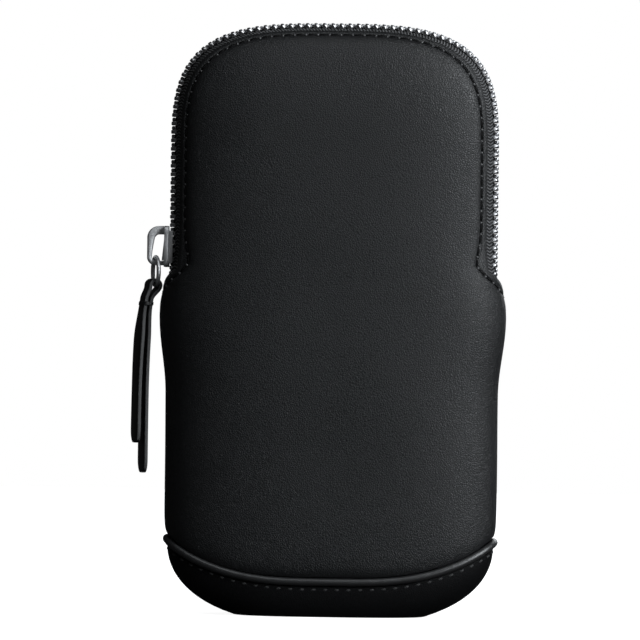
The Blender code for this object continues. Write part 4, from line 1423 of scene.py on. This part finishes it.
def plate(name, x_low, x_high, half):
    """A slider plate cut to its outline and drawn out to its thickness."""
    side = [(half * out, slider_height(up)) for up, out in zip(PLATE_UP_SHARES, PLATE_OUT_SHARES)]
    points = side + [(-y, z) for y, z in reversed(side)]
    bpy.ops.mesh.primitive_circle_add(vertices=len(points), radius=1.0, fill_type="NGON")
    made = bpy.context.object
    made.name = made.data.name = name
    for point, (y, z) in zip(made.data.vertices, points):
        point.co = (x_low, y, z)
    edit_faces(made, lambda face: True)
    bpy.ops.mesh.extrude_region_move(TRANSFORM_OT_translate={"value": (x_high - x_low, 0.0, 0.0)})
    return outwards(made)


def united(piece, other):
    """Make this piece and another one a single casting."""
    applied(piece, "BOOLEAN", operation="UNION", object=other)
    bpy.data.objects.remove(other)
    return piece


slider = plate("slider_casting", -SLIDER_FACE, -SLIDER_OUT, SLIDER_HALF)
united(slider, plate("slider_inner_plate", -SLIDER_IN, -SLIDER_IN + SLIDER_PLATE, UNDER_HALF))
post_low = (SLIDER_CORE, -SLIDER_POST / 2, SLIDER_LOW + SLIDER_PLATE)
post_high = (-SLIDER_IN + SLIDER_PLATE / 2, SLIDER_POST / 2, slider_height(POST_LENGTH_SHARE))
united(slider, box_block("slider_post", post_low, post_high))
flange_low = (SLIDER_CORE, FLANGE_LOW, SLIDER_LOW + SLIDER_PLATE)
flange_high = (-SLIDER_OUT + FLANGE_DROP, FLANGE_LOW + FLANGE_WIDTH, slider_height(FLANGE_TOP_SHARE))
united(slider, box_block("slider_flange", flange_low, flange_high))
wall_low = (SLIDER_CORE, -SLIDER_HALF, SLIDER_LOW + SLIDER_PLATE)
wall_high = (-SLIDER_OUT + WALL_DROP, -SLIDER_HALF + WALL_THICKNESS, slider_height(WALL_TOP_SHARE))
wall = box_block("slider_wall", wall_low, wall_high)
for point in wall.data.vertices:
    if point.co.x < -SLIDER_OUT:
        point.co.y += WALL_SLANT
    if point.co.z > wall_high[2] - WALL_THICKNESS:
        point.co.y += WALL_DRAW
united(slider, wall)
ridge_low = (-SLIDER_FACE - RIDGE_RISE, -RIDGE_HALF, slider_height(RIDGE_LOW_SHARE))
ridge_high = (SLIDER_CORE, RIDGE_HALF, slider_height(RIDGE_HIGH_SHARE))
ridge = box_block("slider_ridge", ridge_low, ridge_high)
for point in ridge.data.vertices:
    if point.co.x < -SLIDER_FACE and point.co.z > slider_height(0.5):
        point.co.x = -SLIDER_FACE
united(slider, ridge)
rounded(slider, SLIDER_ROUND, segments=2)
slider.data.materials.append(hardware_metal)
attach(slider, "slider")
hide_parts("slider_body")


# The bail
# A flat bar of the same metal, pressed into a long bridge and riveted into the outer plate. It
# carries the jump ring, and stands turned a little to the front about the ring's seat.

BAIL_THICKNESS = 0.0014
BAIL_LIMB_THICKNESS = 0.0024
BAIL_TOP_THICKNESS = 0.0026
BAIL_SWELL_LENGTH = 0.0080
BAIL_REACH = 0.00030
BAIL_TURN = math.radians(12.0)
BAIL_SEAT = 0.0012
BAIL_WIDTH = 0.0014
BAIL_CORNER = 0.0018
BAIL_TOP_CORNER = 0.0026
BAIL_ROUND = 0.00030
BAIL_LEAD = 0.0003
LIMB_STEPS = 8
ARC_STEPS = 12
UPWARD = Vector((0.0, 0.0, 1.0))


def arc(centre, radius, start, end, steps=ARC_STEPS):
    points = []
    for i in range(steps + 1):
        turn = lerp(start, end, i / steps)
        points.append((centre[0] + radius * math.cos(turn), centre[1] + radius * math.sin(turn)))
    return points


def bar(name, path, thicknesses, widths, axes_at, corner, closed=False, corner_steps=2):
    """Bend a bar with rounded corners along a flat path. axes_at is (origin, axis, axis, width axis)."""
    origin, first, second, wide = axes_at
    flat = [Vector(p) for p in path]
    count = len(flat)
    thicknesses, widths = [v if isinstance(v, list) else [v] * count for v in (thicknesses, widths)]
    rows = []
    for i in range(count + (1 if closed else 0)):
        point = flat[i % count]
        before = flat[i % count - 1] if closed or i else point
        after = flat[(i + 1) % count] if closed or i < count - 1 else point
        arriving, leaving = (point - before).normalized(), (after - point).normalized()
        along = (arriving + leaving).normalized()
        mitre = max(along.dot(leaving), along.dot(arriving))
        normal = Vector((-along.y, along.x)) / mitre
        section = []
        for quarter, (a, b) in enumerate(((1, 1), (-1, 1), (-1, -1), (1, -1))):
            for step in range(corner_steps + 1):
                turn = math.pi / 2 * (quarter + step / corner_steps)
                out = a * (thicknesses[i % count] / 2 - corner) + corner * math.cos(turn)
                side = b * (widths[i % count] / 2 - corner) + corner * math.sin(turn)
                spot = point + normal * out
                section.append(origin + first * spot.x + second * spot.y + wide * side)
        rows.append(section + section[:1])
    piece = sewn_shut(laid(name, rows))
    if not closed:
        closed_ends(piece)
    return smooth(piece, degrees=50.0)


bail_low, bail_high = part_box("slider_bail")
bail_foot = SLIDER_FACE - BAIL_THICKNESS / 4
bail_bottom = bail_low.z + BAIL_SEAT / 2
bail_outer = -bail_low.x + BAIL_REACH
bail_top = bail_high.z - BAIL_TOP_THICKNESS / 2
limb_low, limb_high = bail_bottom + BAIL_CORNER, bail_top - BAIL_TOP_CORNER


def limb_thickness(height):
    return lerp(BAIL_THICKNESS, BAIL_LIMB_THICKNESS, eased((height - limb_low) / BAIL_SWELL_LENGTH))


def limb_across(height):
    return bail_outer - limb_thickness(height) / 2


low_across, high_across = limb_across(limb_low) - BAIL_CORNER, limb_across(limb_high) - BAIL_TOP_CORNER
bail_path = [(bail_foot, bail_bottom), (low_across - BAIL_LEAD, bail_bottom)]
bail_path += arc((low_across, limb_low), BAIL_CORNER, -math.pi / 2, 0.0)
for i in range(1, LIMB_STEPS):
    height = lerp(limb_low, limb_high, i / LIMB_STEPS)
    bail_path.append((limb_across(height), height))
bail_path += arc((high_across, limb_high), BAIL_TOP_CORNER, 0.0, math.pi / 2)
bail_path.append((bail_foot, bail_top))
bail_thicknesses = []
for _, height in bail_path:
    over = eased((height - limb_high) / BAIL_TOP_CORNER)
    bail_thicknesses.append(lerp(limb_thickness(height), BAIL_TOP_THICKNESS, over))
ring_low, ring_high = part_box("pull_ring")
ring_middle = (ring_low + ring_high) / 2
ring_seat = Vector((ring_middle.x, 0.0, 0.0))
bail_out = Vector((-math.cos(BAIL_TURN), -math.sin(BAIL_TURN), 0.0))
bail = bar(
    "slider_bridge", bail_path, bail_thicknesses, BAIL_WIDTH,
    (ring_seat + bail_out * ring_seat.x, bail_out, UPWARD, bail_out.cross(UPWARD)), BAIL_ROUND,
)
bail.data.materials.append(hardware_metal)
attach(bail, "slider")
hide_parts("slider_bail")


# The jump ring
# A closed ring of round wire that hangs in the bail, turned a little from square by the pull.

RING_WIRE = 0.00068
RING_TURN = math.radians(16.0)
RING_SEGMENTS = 72
RING_SIDES = 16
RING_RADIUS = (ring_high.z - ring_low.z) / 2 - RING_WIRE

bpy.ops.mesh.primitive_torus_add(
    location=ring_middle, rotation=(0.0, math.pi / 2, RING_TURN),
    major_radius=RING_RADIUS, minor_radius=RING_WIRE,
    major_segments=RING_SEGMENTS, minor_segments=RING_SIDES,
)
jump_ring = bpy.context.object
jump_ring.name = jump_ring.data.name = "jump_ring"
bpy.ops.object.transform_apply(location=True, rotation=True, scale=True)
smooth(jump_ring)
jump_ring.data.materials.append(hardware_metal)
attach(jump_ring, "ring")
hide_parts("pull_ring")


# The pull
# One strap of black leather, cut narrow in the middle, folded over the ring and left with two tails
# of unlike length. Its cut edges are coloured paler than its face.

PULL_WIDTH = 0.0080
PULL_NECK_WIDTH = 0.0050
PULL_THICKNESS = 0.0011
PULL_LOOP_RADIUS = 0.0022
PULL_LOOP_SIDE = 0.0016
PULL_TURN = math.radians(24.0)
PULL_SHIFT = 0.0006
PULL_TAIL_GAP = 0.0006
PULL_TIE_HEIGHT = 0.0020
LONG_TAIL_LENGTH = 0.0526
SHORT_TAIL_LENGTH = 0.0435
PULL_LEAN = 0.0019
PULL_LEAN_LENGTH = 0.011
PULL_EDGE_ROUND = 0.00026
PULL_TWIST = math.radians(-4.0)
SHOULDER_LENGTH = 0.010
TAIL_TIP = 0.0040
TIP_SHARE = 0.30
TAIL_STEPS = 60
TAIL_CLOSENESS = 1.6
LOOP_STEPS = 28
DROP_STEPS = 12
TAIL_PART = 0.00035
TAIL_PART_LENGTH = 0.016
TWIST_LENGTH = LONG_TAIL_LENGTH / 2
CUT_EDGE_SHARE = 0.75

ring_bottom = ring_middle.z - RING_RADIUS
PULL_LINE = Vector((-math.sin(PULL_TURN), math.cos(PULL_TURN), 0.0))
PULL_NORMAL = Vector((math.cos(PULL_TURN), math.sin(PULL_TURN), 0.0))
PULL_ORIGIN = Vector((ring_middle.x - PULL_SHIFT, 0.0, 0.0))
tail_step = (PULL_TAIL_GAP + PULL_THICKNESS) / 2
neck_low = ring_bottom - 2 * PULL_LOOP_RADIUS

pull_leather = leather_finish(
    "pull_leather", (0.0060, 0.0060, 0.0064, 1.0), (0.0130, 0.0130, 0.0137, 1.0),
    roughness=0.36, grain_size=0.00050, grain_depth=0.00003,
)
pull_edge = Finish("pull_leather_edge")
fibres = pull_edge.speckle(pull_edge.place(), 2400.0, 3.0, 0.7)
pull_edge.surface({
    "Base Color": pull_edge.shade(fibres, (0.055, 0.055, 0.056, 1), (0.13, 0.13, 0.13, 1)),
    "Roughness": 0.62 + fibres * 0.2,
    "Normal": pull_edge.bump(fibres, 0.00008),
})


def lean_at(height):
    """How far outwards the tails have moved at a height below the neck."""
    drop = max(0.0, neck_low - height)
    return PULL_LOOP_RADIUS + PULL_LEAN * (1 - math.exp(-drop / PULL_LEAN_LENGTH))


def tail(sign, length):
    """(across, height, width) down one tail."""
    stations = []
    for i in range(TAIL_STEPS + 1):
        down = length * (1 - (1 - i / TAIL_STEPS) ** TAIL_CLOSENESS)
        height = neck_low - down
        width = lerp(PULL_NECK_WIDTH, PULL_WIDTH, eased((down - PULL_TIE_HEIGHT) / SHOULDER_LENGTH))
        left = length - down
        if left < TAIL_TIP:
            width *= lerp(TIP_SHARE, 1.0, rounding(1 - left / TAIL_TIP, 2))
        parted = TAIL_PART * (1 - math.exp(-max(0.0, down - PULL_TIE_HEIGHT) / TAIL_PART_LENGTH))
        stations.append((sign * (tail_step + parted) - lean_at(height), height, width))
    return stations


loop_middle = -(PULL_LOOP_SIDE - PULL_THICKNESS / 2 - RING_WIRE - CLEARANCE)
loop_arc = arc((loop_middle, ring_bottom), PULL_LOOP_SIDE, 0.0, math.pi, LOOP_STEPS)
loop = [(x, z, PULL_NECK_WIDTH) for x, z in loop_arc]


def drawn_in(side, end):
    """The loop's limbs curve in to the tie, as in a drop of water."""
    start = loop[0] if side > 0 else loop[-1]
    stations = []
    for i in range(1, DROP_STEPS):
        share = i / DROP_STEPS
        across = lerp(start[0], end[0], eased(share))
        stations.append((across, lerp(start[1], end[1], share), PULL_NECK_WIDTH))
    return stations


long_tail = tail(1, LONG_TAIL_LENGTH)
short_tail = tail(-1, SHORT_TAIL_LENGTH)
pull_stations = list(reversed(long_tail)) + list(reversed(drawn_in(1, long_tail[0])))
pull_stations += loop + drawn_in(-1, short_tail[0]) + short_tail
pull_path = [(across, height) for across, height, _ in pull_stations]
pull_widths = [width for _, _, width in pull_stations]
pull = bar(
    "pull_leather_strap", pull_path, PULL_THICKNESS, pull_widths,
    (PULL_ORIGIN, PULL_NORMAL, UPWARD, PULL_LINE), PULL_EDGE_ROUND,
)
for point in pull.data.vertices:
    share = clamped((neck_low - point.co.z) / TWIST_LENGTH)
    core = PULL_ORIGIN - PULL_NORMAL * lean_at(point.co.z)
    core.z = point.co.z
    point.co = core + Matrix.Rotation(PULL_TWIST * share, 3, "Z") @ (point.co - core)
pull.data.materials.append(pull_leather)
pull.data.materials.append(pull_edge.material)
for face in pull.data.polygons:
    face.material_index = 1 if abs(face.normal.dot(PULL_LINE)) > CUT_EDGE_SHARE else 0
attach(pull, "pull")
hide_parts("pull_strap")


# The tie
# A thin leather thong wound three times round the strap's neck, with its end tucked under.

TIE_TURNS = 3
TIE_CLIMB_TURNS = TIE_TURNS - 0.5
TIE_RADIUS = 0.00030
TIE_STEPS = 56
TIE_SQUARENESS = 0.55
TIE_SIDES = 10
TIE_REACH = TIE_RADIUS * 0.6
tie_top = neck_low - CLEARANCE - TIE_RADIUS
tie_pitch = (PULL_TIE_HEIGHT - 2 * CLEARANCE - 2 * TIE_RADIUS) / TIE_CLIMB_TURNS


def squared(value):
    return math.copysign(abs(value) ** TIE_SQUARENESS, value)


def tie_line(reach):
    line = []
    for i in range(TIE_TURNS * TIE_STEPS + 1):
        turn = 2 * math.pi * i / TIE_STEPS
        height = tie_top - tie_pitch * min(i / TIE_STEPS, TIE_CLIMB_TURNS)
        first, second = squared(math.cos(turn)), squared(math.sin(turn))
        across = first * (tail_step + PULL_THICKNESS / 2 + reach) - lean_at(height)
        wide = second * (PULL_NECK_WIDTH / 2 + reach)
        line.append(PULL_ORIGIN + PULL_NORMAL * across + PULL_LINE * wide + UPWARD * height)
    return line


tie_rows = tube_rows(tie_line(TIE_REACH), tie_line(TIE_REACH * 2), TIE_RADIUS, TIE_SIDES)
tie = closed_ends(sewn_shut(laid("pull_thong", tie_rows)))
smooth(tie)
tie.data.materials.append(pull_leather)
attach(tie, "pull")
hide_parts("pull_tie")


# The strap tabs and links
# On the back, a short leather tab is folded round a flat cast link at each side and box-stitched to
# the panel. A crossbody strap can be clipped to the links.

ANCHOR_ACROSS = 0.027
ANCHOR_HEIGHT = 0.136
TAB_HEIGHT = 0.016
TAB_WIDTH = 0.013
TAB_THICKNESS = 0.0010
TAB_EDGE_ROUND = 0.00022
TAB_OUT_TOP_SHARE = 0.8
TAB_WRAP = math.radians(210.0)
TAB_REJOIN_TURNS = 3
LINK_WIDTH = 0.021
LINK_DROP = 0.011
LINK_THICKNESS = 0.0018
LINK_CORNER = 0.0030
LINK_ROUND = 0.00045
LINK_LOOP = LINK_THICKNESS * math.sqrt(2) / 2 + CLEARANCE
TAB_BACK = CLEARANCE + TAB_THICKNESS / 2
BAR_OUT = CLEARANCE + TAB_THICKNESS + LINK_LOOP
TAB_STITCH_INSET = 0.0014
TAB_STITCH_LENGTH = 0.0019
TAB_STITCH_GAP = 0.0006
TAB_STITCH_STAND = 0.0001
TAB_LAYER = TAB_BACK + TAB_THICKNESS + CLEARANCE
TAB_FOLD_RADIUS = LINK_LOOP + TAB_THICKNESS / 2
TAB_TOP_HEIGHT = ANCHOR_HEIGHT + TAB_HEIGHT
TAB_REJOIN = ANCHOR_HEIGHT + TAB_REJOIN_TURNS * TAB_FOLD_RADIUS
TAB_END = lerp(ANCHOR_HEIGHT, TAB_TOP_HEIGHT, TAB_OUT_TOP_SHARE)
TAB_STEPS = 8
TAB_END_STEPS = 4

wrap = arc((BAR_OUT, ANCHOR_HEIGHT), TAB_FOLD_RADIUS, math.pi, math.pi + TAB_WRAP, LOOP_STEPS)
tab_path = [(TAB_BACK, lerp(TAB_TOP_HEIGHT, ANCHOR_HEIGHT, i / TAB_STEPS)) for i in range(TAB_STEPS)]
tab_path += wrap
for i in range(1, TAB_STEPS + 1):
    share = i / TAB_STEPS
    out = lerp(wrap[-1][0], TAB_LAYER, share * (2 - share))
    tab_path.append((out, lerp(wrap[-1][1], TAB_REJOIN, share)))
for i in range(1, TAB_END_STEPS + 1):
    tab_path.append((TAB_LAYER, lerp(TAB_REJOIN, TAB_END, i / TAB_END_STEPS)))

sew_reach = TAB_WIDTH / 2 - TAB_STITCH_INSET
sew_low, sew_high = TAB_REJOIN + TAB_STITCH_INSET / 2, TAB_END - TAB_STITCH_INSET
sew_corners = [(-sew_reach, sew_low), (sew_reach, sew_low), (sew_reach, sew_high), (-sew_reach, sew_high)]

link_across = (LINK_WIDTH - LINK_THICKNESS) / 2 - LINK_CORNER
link_low, link_high = LINK_CORNER - (LINK_DROP - LINK_THICKNESS), -LINK_CORNER
link_corners = [
    (link_across, link_high), (link_across, link_low), (-link_across, link_low), (-link_across, link_high)
]
link_path = []
for quarter, centre in enumerate(link_corners):
    start = math.pi / 2 * (1 - quarter)
    link_path += arc(centre, LINK_CORNER, start, start - math.pi / 2)


def anchor_spot(hand, across):
    return form(hand * across / HALF_WIDTH, ANCHOR_HEIGHT, 0.0, REAR)


for hand, side_name in HANDS:
    spot = anchor_spot(hand, ANCHOR_ACROSS)
    inner = anchor_spot(hand, ANCHOR_ACROSS - TAB_WIDTH / 2)
    outer = anchor_spot(hand, ANCHOR_ACROSS + TAB_WIDTH / 2)
    wide = (outer - inner).normalized() * hand
    outward = wide.cross(UPWARD) * -1
    seat = (spot - inner).dot(outward)
    origin = inner + wide * (hand * TAB_WIDTH / 2) + outward * seat
    origin.z = 0.0
    tab = bar(
        f"strap_tab_{side_name}_leather", tab_path, TAB_THICKNESS, TAB_WIDTH,
        (origin, outward, UPWARD, wide), TAB_EDGE_ROUND,
    )
    tab.data.materials.append(body_leather)
    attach(tab, "root")
    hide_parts(f"strap_tab_{side_name}")

    spots = []
    for start, end in zip(sew_corners, sew_corners[1:] + sew_corners[:1]):
        run = Vector(end) - Vector(start)
        count = max(1, round(run.length / (TAB_STITCH_LENGTH + TAB_STITCH_GAP)))
        for i in range(count):
            across, height = Vector(start).lerp(Vector(end), (i + 0.5) / count)
            middle = origin + outward * (TAB_LAYER + TAB_THICKNESS / 2 + TAB_STITCH_STAND)
            middle += wide * across + UPWARD * height
            along = (wide * run.x + UPWARD * run.y).normalized()
            spots.append(axes(middle, along, outward.cross(along), outward))
    sewing = set_out(f"strap_tab_{side_name}_stitches", stitch_pattern(TAB_STITCH_LENGTH), spots)
    sewing.data.materials.append(thread_painted_shade)
    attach(sewing, "root")

    link_origin = origin + outward * BAR_OUT + UPWARD * ANCHOR_HEIGHT
    link = bar(
        f"strap_link_{side_name}_casting", link_path, LINK_THICKNESS, LINK_THICKNESS,
        (link_origin, wide, UPWARD, outward), LINK_ROUND, closed=True, corner_steps=4,
    )
    link.data.materials.append(hardware_metal)
    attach(link, f"link_{side_name}")
    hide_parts(f"strap_link_{side_name}")


# The stage
# A plain white floor and soft studio light: two large panels to the right of the front, a weaker one
# above and one behind. The floor looks white, but throws no light up at the leather.

PHOTO_DISTANCE = 1.25
PHOTO_AIM = (-0.0039, 0.0, 0.0896)
PHOTO_LENS = 230.8
PHOTO_ROLL = math.radians(0.7)
PHOTO_TURN = math.radians(2.0)
FLOOR_HALF = 0.9
FLOOR_DROP = 0.0002
LIGHT_COLOUR = (0.92, 0.965, 1.0)
LIGHT_AIM = (0.0, 0.0, 0.10)

bpy.ops.mesh.primitive_plane_add(size=2 * FLOOR_HALF, location=(0.0, 0.0, -FLOOR_DROP))
floor = bpy.context.object
floor.name = "studio_floor"
pale = Finish("studio_floor")
seen = pale.node("ShaderNodeLightPath", {}, {}, "Is Camera Ray")
pale.surface({
    "Base Color": pale.shade(seen, (0.03, 0.03, 0.03, 1), (0.92, 0.92, 0.92, 1)),
    "Roughness": 1.0,
    "Emission Color": pale.shade(seen, (0.0, 0.0, 0.0, 1), (0.93, 0.93, 0.93, 1)),
    "Emission Strength": 1.0,
})
floor.data.materials.append(pale.material)


def softbox(name, place, size, power):
    """A square area light that faces the pouch."""
    light = bpy.data.lights.new(name, "AREA")
    light.shape = "RECTANGLE"
    light.size, light.size_y = size
    light.energy = power
    light.color = LIGHT_COLOUR
    lamp = bpy.data.objects.new(name, light)
    lamp.location = place
    lamp.rotation_euler = (Vector(LIGHT_AIM) - Vector(place)).to_track_quat("-Z", "Y").to_euler()
    bpy.context.scene.collection.objects.link(lamp)


softbox("front_panel_light", (0.85, -1.05, 0.50), (0.75, 0.9), 5.2)
softbox("right_panel_light", (0.75, -0.45, 0.50), (0.6, 0.7), 8.0)
softbox("top_panel_light", (0.15, -0.50, 1.00), (0.8, 0.4), 1.8)
softbox("back_panel_light", (0.45, 1.20, 0.60), (0.9, 0.9), 4.5)

world = bpy.data.worlds.new("studio")
bpy.context.scene.world = world
world.use_nodes = True
sky = world.node_tree
rays = sky.nodes.new("ShaderNodeLightPath")
strength = sky.nodes.new("ShaderNodeMapRange")
strength.inputs["To Min"].default_value = 0.02
strength.inputs["To Max"].default_value = 1.0
backdrop = sky.nodes["Background"]
backdrop.inputs["Color"].default_value = (1.0, 1.0, 1.0, 1.0)
sky.links.new(rays.outputs["Is Camera Ray"], strength.inputs["Value"])
sky.links.new(strength.outputs["Result"], backdrop.inputs["Strength"])
bpy.context.scene.view_settings.view_transform = "Standard"

lens = bpy.data.cameras.new("photo_camera")
lens.sensor_width = 36.0
lens.lens = PHOTO_LENS
lens.clip_start = 0.01
camera = bpy.data.objects.new("photo_camera", lens)
photo_side = Vector((math.sin(PHOTO_TURN), -math.cos(PHOTO_TURN), 0.0))
camera.location = Vector(PHOTO_AIM) + PHOTO_DISTANCE * photo_side
camera.rotation_euler = (math.pi / 2, -PHOTO_ROLL, PHOTO_TURN)
bpy.context.scene.collection.objects.link(camera)
bpy.context.scene.camera = camera
